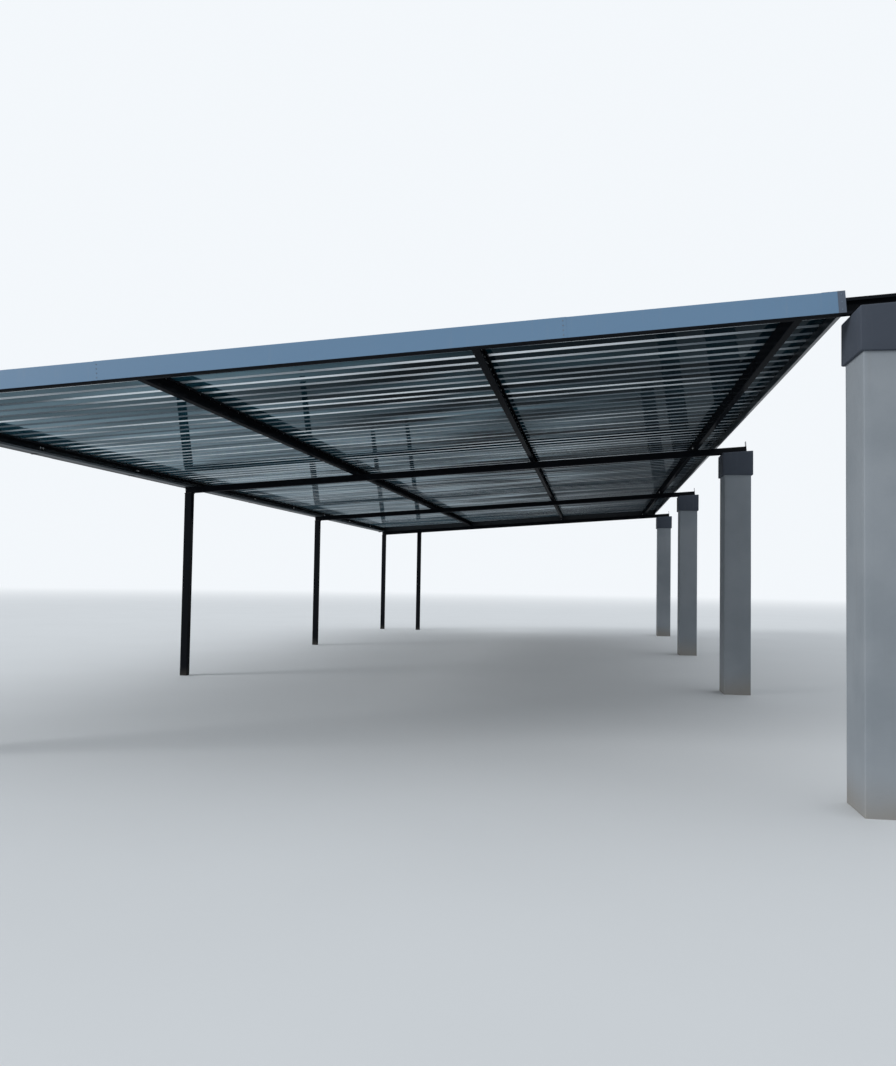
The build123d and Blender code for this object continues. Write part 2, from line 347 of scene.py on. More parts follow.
@dataclass(frozen=True)
class SheetCoating:
    """Glossy charcoal coil coating, dusty above and mirror-like below, where no two pans look alike.

    The pans' reflection is hazy toward the low side and dull toward the high side, and the ribs'
    flanks dull there too: each range is the places across the roof between which that changes.
    """

    # The pans' teal is painted sky reflection, and the next colour is painted shade for pans that
    # reflect dark things.
    pan: Colour = (0.018, 0.085, 0.120)
    pan_painted_shade: Colour = (0.001, 0.003, 0.005)
    # Painted highlight on the ribs' flanks, and the painted shade that it fades to.
    flank_painted_highlight: Colour = (0.88, 0.92, 0.95)
    flank_painted_shade: Colour = (0.20, 0.235, 0.265)
    weather: Colour = (0.046, 0.053, 0.063)
    dust: Colour = (0.16, 0.155, 0.145)
    edge_tint: Colour = (0.68, 0.90, 1.0)
    softening: float = 0.0012
    oil_canning: float = 0.0014
    # Where across the roof the pans' painted reflection brightens toward the low side and darkens toward
    # the high side.
    painted_light_side: Range = (-2.4, 0.2)
    painted_shade_side: Range = (0.5, 2.3)
    # Where across the roof the flanks' painted highlight fades toward the high side.
    flank_highlight_fade: Range = (1.2, 3.0)

    def mix(self) -> bpy.types.Material:
        """Builds the coating.

        Returns:
            Its material.
        """
        recipe = Recipe("roof_sheet_coating")
        x, y = recipe.axes()[:2]
        below = recipe.axes("Normal")[2].ease(0.02, -0.02)
        crests = RibSheets.crests()
        pitch = crests[1] - crests[0]
        place = (y - crests[0]) / pitch
        rib, strip = (place + 0.5).math("FLOOR"), place.math("FLOOR")
        off_crest = abs(place - rib) * pitch
        in_rib, in_crown = (off_crest.ease(width / 2 + self.softening, width / 2 - self.softening)
                            for width in (RibSheets.foot, RibSheets.top))
        pan = self.per_strip(recipe, x, strip, 1.9, 3.0)
        group = self.per_strip(recipe, x, strip * 0.11, 3.5, 17.0)
        # How strong each rib's painted highlight is, fading toward the high side.
        line = self.per_strip(recipe, x, rib, 2.7, 40.0) * (1.0 - x.ease(*self.flank_highlight_fade) * 0.65)
        streaks = recipe.noise(0.03, (22.0, 1.0, 1.0), 3.0)
        clouds = recipe.noise(0.9, (2.5, 1.0, 1.0), 3.0, 4.0)
        rain = recipe.noise(0.035, (40.0, 1.0, 1.0), 3.0, 9.0)
        oil = recipe.noise(0.35, (1.4, 0.5, 1.0), 1.0, 21.0)
        dirt = clouds.ease(0.35, 0.75) * 0.22 + rain.ease(0.5, 0.8) * 0.25
        top_side = recipe.blend(self.weather, self.dust, dirt)
        # Painted reflection: pans lighter toward the low side, darker toward the high side and differing
        # from pan to pan; this value also sets their metallic and coat.
        gloss = pan * (0.35 + group * 0.65) * (1.0 - x.ease(*self.painted_shade_side) * 0.88)
        gloss = gloss + 0.04 + (1.0 - x.ease(*self.painted_light_side)) * 0.5
        gloss = gloss.math("MINIMUM", 1.0)
        # The pans' colour, from painted shade to painted sky reflection.
        pans = recipe.blend(self.pan_painted_shade, self.pan, gloss * (0.7 + streaks * 0.6))
        # The flanks' colour, from painted shade to painted highlight.
        lines = recipe.blend(self.flank_painted_shade, self.flank_painted_highlight, line * (0.75 + streaks * 0.5))
        bend = in_rib * (1.0 - in_crown)
        # The underside: painted reflection on the pans and painted highlight on the flanks.
        shade = recipe.blend(pans, lines, bend)
        flat = below * (1.0 - in_rib)
        return recipe.finish(
            Base_Color=recipe.blend(top_side, shade, below),
            Roughness=0.3 + (streaks * 0.1 + dirt * 0.4) * (1.0 - below) - flat * 0.27,
            Metallic=bend * line * below * 0.9 + gloss * flat * 0.46 + (1.0 - below) * 0.25,
            Normal=recipe.dents(oil, self.oil_canning), Specular_IOR_Level=0.0,
            Specular_Tint=self.edge_tint, Coat_Roughness=0.02,
            Coat_Weight=0.02 + (gloss * 0.18 + 0.04) * below * (1.0 - in_crown * 0.8))

    @staticmethod
    def per_strip(recipe: Recipe, x: Wire, number: Wire, long: float, start: float) -> Wire:
        """A value from 0 to 1 that is even across a strip and drifts along it.

        Args:
            recipe: The coating that it belongs to.
            x: The place along the strip.
            number: The strip's number.
            long: How far it takes to change.
            start: A shift that makes this value differ from another.

        Returns:
            The value.
        """
        place = recipe.vector(x / long, number * 3.7 + start, start)
        return recipe.cloud(place, 1.0).ease(0.38, 0.62)


@dataclass(frozen=True)
class Enamel:
    """Semi-gloss paint on steel, with dust on what faces up and splashes low down.

    Splash is how high the splashes reach, and below the height of a lip the paint is paler.
    """

    name: str
    base: Colour
    worn: Colour
    gloss: float
    splash: float = 0.0
    peel: float = 0.00009
    coat: float = 0.055
    lip: Optional[float] = None
    # Painted reflection on the lower lip.
    lip_painted_reflection: Colour = (0.10, 0.11, 0.12)
    dust: Colour = (0.19, 0.175, 0.15)

    def mix(self) -> bpy.types.Material:
        """Builds the paint.

        Returns:
            Its material.
        """
        recipe = Recipe(self.name)
        z = recipe.axes()[2]
        up = recipe.axes("Normal")[2]
        clouds = recipe.noise(0.32, (1.0, 1.0, 2.0), 4.0)
        fine = recipe.noise(0.006, detail=3.0, start=3.0)
        specks = recipe.noise(0.02, detail=5.0, start=7.0).ease(0.62, 0.72)
        grime = up.ease(0.4, 0.95) * (0.25 + 0.4 * clouds)
        if self.splash:
            grime = grime + (z + clouds * 0.12).ease(self.splash + 0.001, 0.0) * 0.22
        colour = recipe.blend(self.base, self.worn, clouds.ease(0.3, 0.8) * 0.35 + specks * 0.1)
        if self.lip is not None:
            # Painted reflection: lighter paint below the lip's height.
            colour = recipe.blend(colour, self.lip_painted_reflection, z.ease(self.lip + 0.001, self.lip - 0.001))
        return recipe.finish(Base_Color=recipe.blend(colour, self.dust, grime),
                             Roughness=self.gloss + clouds * 0.1 + grime * 0.45,
                             Normal=recipe.dents(fine, self.peel), Specular_IOR_Level=0.0,
                             Coat_Weight=self.coat, Coat_Roughness=0.12)


@dataclass(frozen=True)
class FlashingCoating:
    """Satin blue-grey coating of folded flashings, with faint runs and another colour inside.

    On what faces down past the drip line, a place across the roof, it is black and dull.
    """

    name: str
    base: Colour
    pale: Colour
    inside: Colour
    gloss: float = 0.3
    shine: float = 0.35
    underside_shade_line: Optional[float] = None
    coat: float = 0.3
    dust: Colour = (0.25, 0.24, 0.22)
    # Painted shade on the outer underside, past the shade line.
    painted_underside_shade: Colour = (0.006, 0.007, 0.008)
    underside_shade_fade: Range = (0.064, 0.056)
    oil_canning: float = 0.0016
    grain_depth: float = 0.00003

    def mix(self) -> bpy.types.Material:
        """Builds the coating.

        Returns:
            Its material.
        """
        recipe = Recipe(self.name)
        x, y = recipe.axes()[:2]
        across, along, up = recipe.axes("Normal")
        coat: Term = self.coat
        outside = (across * x * 0.3 + along * y * 0.12 + up).ease(-0.05, 0.1)
        clouds = recipe.noise(0.7, (2.0, 2.0, 0.6), 4.0)
        runs = recipe.noise(0.03, (1.0, 1.0, 12.0), 4.0, 5.0)
        grain = recipe.noise(0.003, detail=2.0)
        oil = recipe.noise(0.45, (2.2, 1.0, 0.7), 1.0, 8.0)
        dust = up.ease(0.5, 0.95) * clouds.ease(0.3, 0.8) * 0.45 + runs.ease(0.55, 0.85) * 0.1
        colour = recipe.blend(self.base, self.pale, clouds * 0.5)
        colour = recipe.blend(colour, self.dust, dust)
        colour = recipe.blend(self.inside, colour, outside)
        if self.underside_shade_line is not None:
            # Painted shade: black and without coat where it faces down past the line.
            painted_underside_shade = x.ease(*(self.underside_shade_line + part for part in self.underside_shade_fade)) * up.ease(-0.6, -0.9)
            colour = recipe.blend(colour, self.painted_underside_shade, painted_underside_shade * (0.75 + clouds * 0.25))
            coat = self.coat - painted_underside_shade * self.coat
        normal = recipe.dents(grain, self.grain_depth, recipe.dents(oil, self.oil_canning))
        return recipe.finish(Base_Color=colour, Roughness=self.gloss + clouds * 0.08 + dust * 0.5,
                             Normal=normal, Specular_IOR_Level=self.shine, Coat_Weight=coat,
                             Coat_Roughness=0.15)


@dataclass(frozen=True)
class Zinc:
    """Zinc plating of bolts and screws, with dull patches."""

    name: str
    base: Colour = (0.80, 0.81, 0.80)
    dull: Colour = (0.50, 0.50, 0.48)
    grain_depth: float = 0.00002

    def mix(self) -> bpy.types.Material:
        """Builds the plating.

        Returns:
            Its material.
        """
        recipe = Recipe(self.name)
        patches = recipe.noise(0.006, detail=4.0)
        colour = recipe.blend(self.base, self.dull, patches.ease(0.35, 0.75))
        normal = recipe.dents(recipe.noise(0.001, detail=2.0), self.grain_depth)
        return recipe.finish(Base_Color=colour, Metallic=0.45, Roughness=0.26 + patches * 0.3,
                             Normal=normal)


@dataclass(frozen=True)
class Rubber:
    """Black sealing rubber, a little chalky."""

    base: Colour = (0.018, 0.018, 0.018)
    chalk: Colour = (0.07, 0.07, 0.066)
    grain_depth: float = 0.00005

    def mix(self) -> bpy.types.Material:
        """Builds the rubber.

        Returns:
            Its material.
        """
        recipe = Recipe("sealing_rubber")
        chalk = recipe.noise(0.004, detail=3.0)
        return recipe.finish(Base_Color=recipe.blend(self.base, self.chalk, chalk.ease(0.4, 0.8)),
                             Roughness=0.75 + chalk * 0.15,
                             Normal=recipe.dents(chalk, self.grain_depth))


@dataclass(frozen=True)
class Plaster:
    """Painted cement plaster with float marks, rain streaks and, on a shaft, a grimy foot."""

    name: str
    base: Colour
    pale: Colour
    foot: bool
    streak: Colour = (0.16, 0.15, 0.14)
    soil: Colour = (0.22, 0.19, 0.15)
    float_marks: float = 0.0011
    sand_depth: float = 0.0004

    def mix(self) -> bpy.types.Material:
        """Builds the plaster.

        Returns:
            Its material.
        """
        recipe = Recipe(self.name)
        z = recipe.axes()[2]
        clouds = recipe.noise(0.5, detail=5.0)
        floats = recipe.noise(0.06, (1.0, 1.0, 0.5), 4.0, 3.0)
        sand = recipe.noise(0.0035, detail=3.0, start=6.0)
        runs = recipe.noise(0.045, (1.0, 1.0, 14.0), 4.0, 11.0)
        colour = recipe.blend(self.base, self.pale, clouds.ease(0.3, 0.7))
        colour = recipe.blend(colour, self.streak, runs.ease(0.55, 0.85) * 0.14)
        if self.foot:
            grime = (z + clouds * 0.22).ease(0.42, 0.05)
            colour = recipe.blend(colour, self.soil, grime * 0.6)
        normal = recipe.dents(sand, self.sand_depth, recipe.dents(floats, self.float_marks))
        return recipe.finish(Base_Color=colour, Roughness=0.72 + clouds * 0.15, Normal=normal,
                             Specular_IOR_Level=0.35)


@dataclass(frozen=True)
class StudioPaint:
    """Matt paint of the studio floor, which fades into the backdrop far from the carport."""

    base: Colour = (0.71, 0.735, 0.755)
    shade: float = 0.94
    far: Colour = (0.90, 0.935, 0.97)
    fade: Range = (22.0, 75.0)

    def mix(self) -> bpy.types.Material:
        """Builds the paint.

        Returns:
            Its material.
        """
        recipe = Recipe("studio_floor")
        reach = recipe.node("ShaderNodeVectorMath", {"operation": "LENGTH"}, {0: recipe.here}, "Value")
        seen = recipe.node("ShaderNodeLightPath", output="Is Camera Ray")
        clouds = recipe.noise(1.7, detail=4.0)
        colour = recipe.blend(self.base, tuple(part * self.shade for part in self.base), clouds)
        matt = recipe.node("ShaderNodeBsdfPrincipled", values={"Base Color": colour, "Roughness": 0.85,
                                                               "Specular IOR Level": 0.2})
        glow = recipe.node("ShaderNodeEmission", values={"Color": self.far, "Strength": 1.0})
        return recipe.close(recipe.node("ShaderNodeMixShader",
                                        values={0: reach.ease(*self.fade) * seen, 1: matt, 2: glow}))


# Where the gutter's painted underside shade begins across the roof.
GUTTER_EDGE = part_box("gutter_floor")[0].x
EAVE_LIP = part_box("eave_purlin")[0].z + 0.0235


class Finish(Enum):
    """Every surface that the carport or its studio has."""

    SHEET = SheetCoating()
    FRAME = Enamel("frame_enamel", (0.0055, 0.0065, 0.0085), (0.010, 0.0105, 0.012), 0.3, splash=0.2)
    # The eave purlin's paint, with a painted reflection on its lower lip.
    EAVE = Enamel("eave_enamel", (0.0065, 0.0075, 0.0095), (0.012, 0.0125, 0.014), 0.3, coat=0.24,
                  lip=EAVE_LIP)
    WELD = Enamel("painted_weld", (0.010, 0.011, 0.013), (0.03, 0.029, 0.028), 0.34, peel=0.0002)
    PRIMER = Enamel("end_plate_primer", (0.36, 0.37, 0.39), (0.22, 0.21, 0.20), 0.45)
    # Charcoal coating that is blue-grey from painted sky reflection.
    FLASHING = FlashingCoating("flashing_coating_painted_sky", (0.090, 0.178, 0.290), (0.118, 0.205, 0.308),
                               (0.012, 0.015, 0.020))
    # A darker copy of the flashing coating, as painted shade on the corner covers.
    CORNER = FlashingCoating("corner_coating_painted_shade", (0.060, 0.082, 0.118), (0.078, 0.100, 0.136),
                             (0.012, 0.015, 0.020))
    # The gutter's coating, with painted shade on its outer underside.
    GUTTER = FlashingCoating("gutter_coating", (0.050, 0.056, 0.066), (0.070, 0.077, 0.088),
                             (0.055, 0.060, 0.070), 0.26, 0.02, GUTTER_EDGE)
    ZINC = Zinc("bolt_zinc")
    SCREW = Zinc("screw_zinc", (0.42, 0.43, 0.43), (0.22, 0.22, 0.21))
    RIVET = Enamel("painted_rivet", (0.12, 0.16, 0.21), (0.2, 0.2, 0.2), 0.35)
    RUBBER = Rubber()
    PLASTER = Plaster("pier_plaster", (0.188, 0.212, 0.235), (0.228, 0.252, 0.276), True)
    BAND = Plaster("band_plaster", (0.036, 0.045, 0.062), (0.047, 0.057, 0.076), False)
    STUDIO = StudioPaint()


@cache
def paint(finish: Finish) -> bpy.types.Material:
    """The material of a finish, made once."""
    return finish.value.mix()


# The roof's own axes

@dataclass(frozen=True)
class Section:
    """The limits of a part in the roof's axes."""

    u0: float
    u1: float
    y0: float
    y1: float
    w0: float
    w1: float


@dataclass(frozen=True)
class RoofAxes:
    """U runs up the slope from the posts' middle, Y along the building, W square to the sheets."""

    slope: float
    x0: float
    z0: float

    @classmethod
    def on(cls, rafter: str, post: str) -> "RoofAxes":
        """Reads the axes from the parts.

        Args:
            rafter: A square tube up the slope, whose underside is W = 0.
            post: A square post under its low end.

        Returns:
            The roof's axes.
        """
        low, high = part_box(rafter)
        run, depth, climb = high - low
        slope = math.atan2(climb, run)
        for _ in range(12):
            slope = math.atan2(climb - depth * math.cos(slope), run - depth * math.sin(slope))
        middle = (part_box(post)[0].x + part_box(post)[1].x) / 2
        along = (middle - low.x - depth * math.sin(slope)) / math.cos(slope)
        return cls(slope, middle, low.z + along * math.sin(slope))

    def at(self, u: float, y: float, w: float) -> Vector:
        """The place of a point that is given in the roof's axes."""
        c, s = math.cos(self.slope), math.sin(self.slope)
        return Vector((self.x0 + u * c - w * s, y, self.z0 + u * s + w * c))

    def way(self, u: float, y: float, w: float) -> Vector:
        """A direction that is given in the roof's axes."""
        return self.at(u, y, w) - self.at(0.0, 0.0, 0.0)

    def seats(self, us: Sequence[float], ys: Sequence[float], ws: Sequence[float],
              way: Vector) -> list[Seat]:
        """Seats for fasteners that face one way, at every mix of these places."""
        return [(self.at(u, y, w), way) for u in us for y in ys for w in ws]

    def limits(self, node: str) -> Section:
        """The limits of a packed part that is square to the roof's axes.

        Args:
            node: The packed part.

        Returns:
            Its limits.
        """
        low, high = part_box(node)
        c, s = math.cos(self.slope), math.sin(self.slope)
        run, _, climb = high - low
        wide = (run * c - climb * s) / (c * c - s * s)
        tall = (climb * c - run * s) / (c * c - s * s)
        middle = (low + high) / 2 - Vector((self.x0, 0.0, self.z0))
        u = middle.x * c + middle.z * s
        w = middle.z * c - middle.x * s
        return Section(u - wide / 2, u + wide / 2, low.y, high.y, w - tall / 2, w + tall / 2)


ROOF = RoofAxes.on("middle_rafter", "second_post")
UP_SLOPE, DOWN_SLOPE = ROOF.way(1.0, 0.0, 0.0), ROOF.way(-1.0, 0.0, 0.0)
SKYWARD, FLOORWARD = ROOF.way(0.0, 0.0, 1.0), ROOF.way(0.0, 0.0, -1.0)
TO_BACK, TO_FRONT = Vector((0.0, 1.0, 0.0)), Vector((0.0, -1.0, 0.0))
RAFTERS = ("front_rafter", "middle_rafter", "back_rafter")
RAFTER_LINES = [sum(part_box(node), Vector()).y / 2 for node in RAFTERS]
PURLINS = ("eave_purlin", "left_purlin", "right_purlin", "high_side_purlin")


# Meshes

def settle(piece: Piece) -> Piece:
    """The same piece with its modifiers made part of its mesh.

    Args:
        piece: The object.

    Returns:
        The same object, with a mesh of its own and no modifiers.
    """
    graph = bpy.context.evaluated_depsgraph_get()
    mesh = bpy.data.meshes.new_from_object(piece.evaluated_get(graph), depsgraph=graph)
    piece.modifiers.clear()
    worn_out = piece.data
    piece.data = mesh
    bpy.data.meshes.remove(worn_out)
    mesh.name = piece.name
    return piece


def put(name: str, data: bpy.types.ID) -> bpy.types.Object:
    """A new object in the scene that shows this mesh, lamp or camera.

    Args:
        name: The object's name.
        data: Its mesh, lamp or camera.

    Returns:
        The object.
    """
    made = bpy.data.objects.new(name, data)
    bpy.context.scene.collection.objects.link(made)
    return made


def put_mesh(name: str, points: Sequence[Vector] = (), edges: Sequence[tuple[int, int]] = (),
             faces: Sequence[tuple[int, ...]] = ()) -> Piece:
    """A new piece made of points, edges and faces.

    Args:
        name: The piece's name.
        points: Its points.
        edges: Its loose edges, by point.
        faces: Its faces, by point.

    Returns:
        The piece.
    """
    mesh = bpy.data.meshes.new(name)
    mesh.from_pydata([tuple(point) for point in points], edges, faces)
    return put(name, mesh)


class Shell:
    """Points and faces that are gathered into one mesh."""

    def __init__(self, name: str) -> None:
        """Starts with nothing.

        Args:
            name: The name of the object that it becomes.
        """
        self.name = name
        self.points: list[Vector] = []
        self.faces: list[tuple[int, ...]] = []

    def grid(self, rows: Sequence[Sequence[Vector]], ring: bool = False,
             hole: Optional[Callable[[int, int], bool]] = None) -> None:
        """Adds a net of quads.

        Args:
            rows: The points of each row, as many in each.
            ring: Whether each row's last point joins its first.
            hole: Says which quads are left out, by row and column.
        """
        start, count = len(self.points), len(rows[0])
        for row in rows:
            self.points.extend(row)
        for r in range(len(rows) - 1):
            for c in range(count if ring else count - 1):
                if hole and hole(r, c):
                    continue
                after = (c + 1) % count
                a, b = start + r * count, start + (r + 1) * count
                self.faces.append((a + c, a + after, b + after, b + c))

    def cap(self, loop: Sequence[Vector]) -> None:
        """Adds one flat face.

        Args:
            loop: Its corners, anticlockwise from outside.
        """
        start = len(self.points)
        self.points.extend(loop)
        self.faces.append(tuple(range(start, start + len(loop))))

    def build(self, crease: float = 32.0) -> Piece:
        """Makes the object, smooth up to a crease angle in degrees.

        Args:
            crease: The angle past which an edge stays sharp.

        Returns:
            The object.
        """
        piece = put_mesh(self.name, self.points, faces=self.faces)
        piece.data.validate()
        piece.data.shade_smooth()
        piece.data.set_sharp_from_angle(angle=math.radians(crease))
        return piece


def spread(start: float, end: float, count: int) -> list[float]:
    """Places at even distances from one end to the other."""
    return [start + (end - start) * n / (count - 1) for n in range(count)]


def pairs(places: Sequence[float], apart: float) -> list[float]:
    """A place on either side of each of these, this far from it."""
    return [place + side * apart for place in places for side in (-1, 1)]


def rounded(line: Line, radius: float, steps: int = 3) -> Line:
    """A line with each corner turned on an arc, no wider than its runs allow.

    Args:
        line: The line with sharp corners.
        radius: The radius of the arcs.
        steps: How many parts each arc has.

    Returns:
        The rounded line.
    """
    made = [line[0]]
    for (ax, ay), (bx, by), (cx, cy) in zip(line, line[1:], line[2:]):
        back, on = Vector((ax - bx, ay - by)), Vector((cx - bx, cy - by))
        turn = math.pi - back.angle(on)
        reach = min(radius * math.tan(turn / 2), back.length * 0.45, on.length * 0.45)
        corner = Vector((bx, by))
        first, last = corner + back.normalized() * reach, corner + on.normalized() * reach
        for t in spread(0.0, 1.0, steps + 1):
            point = first * (1 - t) ** 2 + corner * 2 * t * (1 - t) + last * t ** 2
            made.append((point.x, point.y))
    made.append(line[-1])
    return made


def beside(line: Line, distance: float) -> Line:
    """A line that runs this far to the left of another.

    Args:
        line: The other line.
        distance: How far, or less than nothing to run to its right.

    Returns:
        The line, with as many points.
    """
    runs = [Vector((b[0] - a[0], b[1] - a[1])).normalized() for a, b in zip(line, line[1:])]
    made = []
    for n, (a, b) in enumerate(line):
        before, after = runs[max(n - 1, 0)], runs[min(n, len(runs) - 1)]
        normal = Vector((-before.y - after.y, before.x + after.x))
        normal *= distance * 2 / normal.length_squared if normal.length_squared else 0.0
        made.append((a + normal.x, b + normal.y))
    return made


def soft_rectangle(middle: Vector, half_x: float, half_y: float, corner: float,
                   sides: int = 1, turns: int = 4) -> Line:
    """Points round a rectangle with rounded corners, anticlockwise.

    Args:
        middle: Its middle.
        half_x: Half its size along the first axis.
        half_y: Half its size along the second axis.
        corner: The radius of its corners.
        sides: How many parts each side has.
        turns: How many parts each corner has.

    Returns:
        The points, without the first one again.
    """
    arcs = []
    for n, (sx, sy) in enumerate(((1, 1), (-1, 1), (-1, -1), (1, -1))):
        x, y = middle.x + sx * (half_x - corner), middle.y + sy * (half_y - corner)
        arcs.append([(x + corner * math.cos(angle), y + corner * math.sin(angle))
                     for angle in spread(n * math.pi / 2, (n + 1) * math.pi / 2, turns + 1)])
    made = []
    for arc, following in zip(arcs, arcs[1:] + arcs[:1]):
        (ax, ay), (bx, by) = arc[-1], following[0]
        made += arc
        made += [(ax + (bx - ax) * k / sides, ay + (by - ay) * k / sides) for k in range(1, sides)]
    return made


def hand_over(piece: Piece, finish: Optional[Finish] = None,
              stands_for: Sequence[str] = ()) -> None:
    """Finishes a piece and lets it ride on the carport.

    Args:
        piece: The object.
        finish: Its surface, or None if its mesh has one already.
        stands_for: The packed parts that it is shown for.
    """
    if finish:
        coat(piece, finish)
    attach(piece, BODY)
    if stands_for:
        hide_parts(*stands_for)
    log.info("%s: %d faces", piece.name, len(piece.data.polygons))


def coat(piece: Piece, finish: Finish) -> None:
    """Gives a piece one finish all over."""
    piece.data.materials.clear()
    piece.data.materials.append(paint(finish))


def dress(finish: Finish, *nodes: str) -> None:
    """Gives packed parts their finish as they are.

    Args:
        finish: The finish.
        nodes: The packed parts.
    """
    for node in nodes:
        coat(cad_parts[node], finish)
        log.info("%s is dressed", node)


def flatten(piece: Piece) -> Piece:
    """Lets wide faces shade as flat ones, so that only the bends between them look round.

    Args:
        piece: The object.

    Returns:
        The same object.
    """
    flats = piece.modifiers.new("flats", "WEIGHTED_NORMAL")
    flats.mode = "FACE_AREA"
    flats.weight = 50
    flats.keep_sharp = True
    return settle(piece)


def thicken(piece: Piece, thickness: float, side: int) -> Piece:
    """Gives a surface its thickness on one side of its normals.

    Args:
        piece: The object with the bare surface.
        thickness: How thick it gets.
        side: 1 to thicken it along its normals, -1 against them.

    Returns:
        The same object.
    """
    skin = piece.modifiers.new("thickness", "SOLIDIFY")
    skin.thickness = thickness
    skin.offset = side
    return settle(piece)


class Grain(Enum):
    """Which of the roof's axes a folded piece is drawn out along."""

    ALONG = "y"
    UP_SLOPE = "u"
    SQUARE = "w"


@dataclass(frozen=True)
class Folded:
    """A sheet or strip that is folded along a line and drawn out in one or more lengths."""

    name: str
    line: Line
    thickness: float
    radius: float
    side: int
    grain: Grain = Grain.ALONG
    crease: float = 35.0

    def place(self, a: float, b: float, along: float) -> Vector:
        """The place of a point of the line, this far along the piece."""
        order = {Grain.ALONG: (a, along, b), Grain.UP_SLOPE: (along, a, b), Grain.SQUARE: (a, b, along)}
        return ROOF.at(*order[self.grain])

    def draw(self, lengths: Sequence[Triple], stations: Sequence[float] = (),
             hole: Optional[Callable[[float, float], bool]] = None) -> Piece:
        """Draws the lengths as one piece.

        Args:
            lengths: Each length's two ends and how far it lies outside the line.
            stations: Places along the piece where its faces are parted.
            hole: Says where a face is left out, by its middle along the line's first axis and
                along the piece.

        Returns:
            The folded piece.
        """
        shell = Shell(self.name)
        for start, end, lift in lengths:
            line = rounded(beside(self.line, lift), self.radius)
            marks = [start, *(mark for mark in stations if start < mark < end), end]

            def open_here(r: int, c: int) -> bool:
                """Whether this quad lies in the hole."""
                middle = (line[c][0] + line[c + 1][0]) / 2
                return bool(hole) and hole(middle, (marks[r] + marks[r + 1]) / 2)

            shell.grid([[self.place(a, b, mark) for a, b in line] for mark in marks], hole=open_here)
        piece = thicken(shell.build(), self.thickness, self.side)
        piece.data.shade_smooth()
        piece.data.set_sharp_from_angle(angle=math.radians(self.crease))
        return flatten(piece)


# Fasteners

class Head(Enum):
    """The shapes of a fastener's head, by how many sides they are drawn with."""

    HEXAGON = 6
    ROUND = 12


@dataclass(frozen=True)
class Fastener:
    """A screw, bolt or rivet that stands on its seat."""

    name: str
    head: Head
    finish: Finish
    across: float
    height: float
    flange: float = 0.0
    flange_height: float = 0.0
    seal: float = 0.0
    seal_height: float = 0.0
    shank: float = 0.0
    shank_length: float = 0.0
    nut_depth: float = 0.0
    seed: int = 1
    washer_sides: int = 16
    shank_sides: int = 8
    nut_height: float = 1.2

    def pattern(self) -> Pattern:
        """The tree that sets this fastener on every point, each turned by chance.

        Returns:
            The tree, with its inputs' values.
        """
        pattern = Pattern(self.name)
        seed = pattern.take({"Seed": self.seed})[0]
        base: Term = 0.0
        parts = []
        layers = (("Seal", self.seal, self.seal_height, self.washer_sides),
                  ("Flange", self.flange, self.flange_height, self.washer_sides),
                  ("Head", self.across, self.height, self.head.value))
        for label, width, height, sides in layers:
            if not width:
                continue
            across, tall = pattern.take({f"{label} Width": width, f"{label} Height": height})
            shape = self.crown if label == "Head" else Pattern.drum
            body = shape(pattern, sides, across * self.corner(sides), tall, base)
            parts.append(pattern.mark(body, "seal") if label == "Seal" else body)
            base = base + tall
        if self.shank:
            thick, long = pattern.take({"Shank Width": self.shank, "Shank Length": self.shank_length})
            parts.append(pattern.drum(self.shank_sides, thick * 0.5, long, long * -1.0))
        if self.nut_depth:
            depth, across, tall = pattern.take({"Nut Depth": self.nut_depth, "Nut Width": self.across,
                                                "Nut Height": self.height * self.nut_height})
            sides = Head.HEXAGON.value
            parts.append(pattern.drum(sides, across * self.corner(sides), tall, (depth + tall) * -1.0))
        lean = pattern.node("FunctionNodeAlignRotationToVector", {"axis": "Z"},
                            {"Vector": pattern.attribute("facing", "FLOAT_VECTOR")})
        spin = pattern.node("FunctionNodeRandomValue", {"data_type": "FLOAT"},
                            {"Max": math.tau, "Seed": seed}, output=1)
        turn = pattern.node("FunctionNodeAxisAngleToRotation",
                            values={"Axis": (0.0, 0.0, 1.0), "Angle": spin})
        rotation = pattern.node("FunctionNodeRotateRotation", {"rotation_space": "LOCAL"},
                                {"Rotation": lean, "Rotate By": turn})
        coats = [(self.finish, None)]
        if self.seal:
            coats.append((Finish.RUBBER, "seal"))
        pattern.end(pattern.set_out(pattern.given, pattern.join(*parts), Rotation=rotation), coats)
        return pattern

    @staticmethod
    def corner(sides: int) -> float:
        """The radius of a polygon's corners for each unit of its width across the flats."""
        return 0.5 / math.cos(math.pi / sides)

    @staticmethod
    def crown(pattern: Pattern, sides: int, radius: Term, tall: Term, base: Term) -> Wire:
        """The head itself: a straight part under a bevelled crown.

        Args:
            pattern: The tree that it belongs to.
            sides: How many sides it has.
            radius: The radius of its corners.
            tall: Its height.
            base: The height that it stands on.

        Returns:
            Its mesh.
        """
        straight = pattern.drum(sides, radius, tall * 0.75, base)
        bevel = pattern.node("GeometryNodeMeshCone", {"fill_type": "NGON"},
                             {"Vertices": sides, "Radius Top": radius * 0.78,
                              "Radius Bottom": radius, "Depth": tall * 0.25}, "Mesh")
        return pattern.join(straight, pattern.shift(bevel, z=base + tall * 0.75))

    def fix(self, name: str, seats: Sequence[Seat]) -> None:
        """Sets the fastener on its seats, as one piece.

        Args:
            name: The piece's name.
            seats: Each seat's place and the direction that the head faces.
        """
        piece = put_mesh(name, [place for place, _ in seats])
        facing = piece.data.attributes.new("facing", "FLOAT_VECTOR", "POINT")
        facing.data.foreach_set("vector", [part for _, way in seats for part in way])
        hand_over(self.pattern().grow(piece))


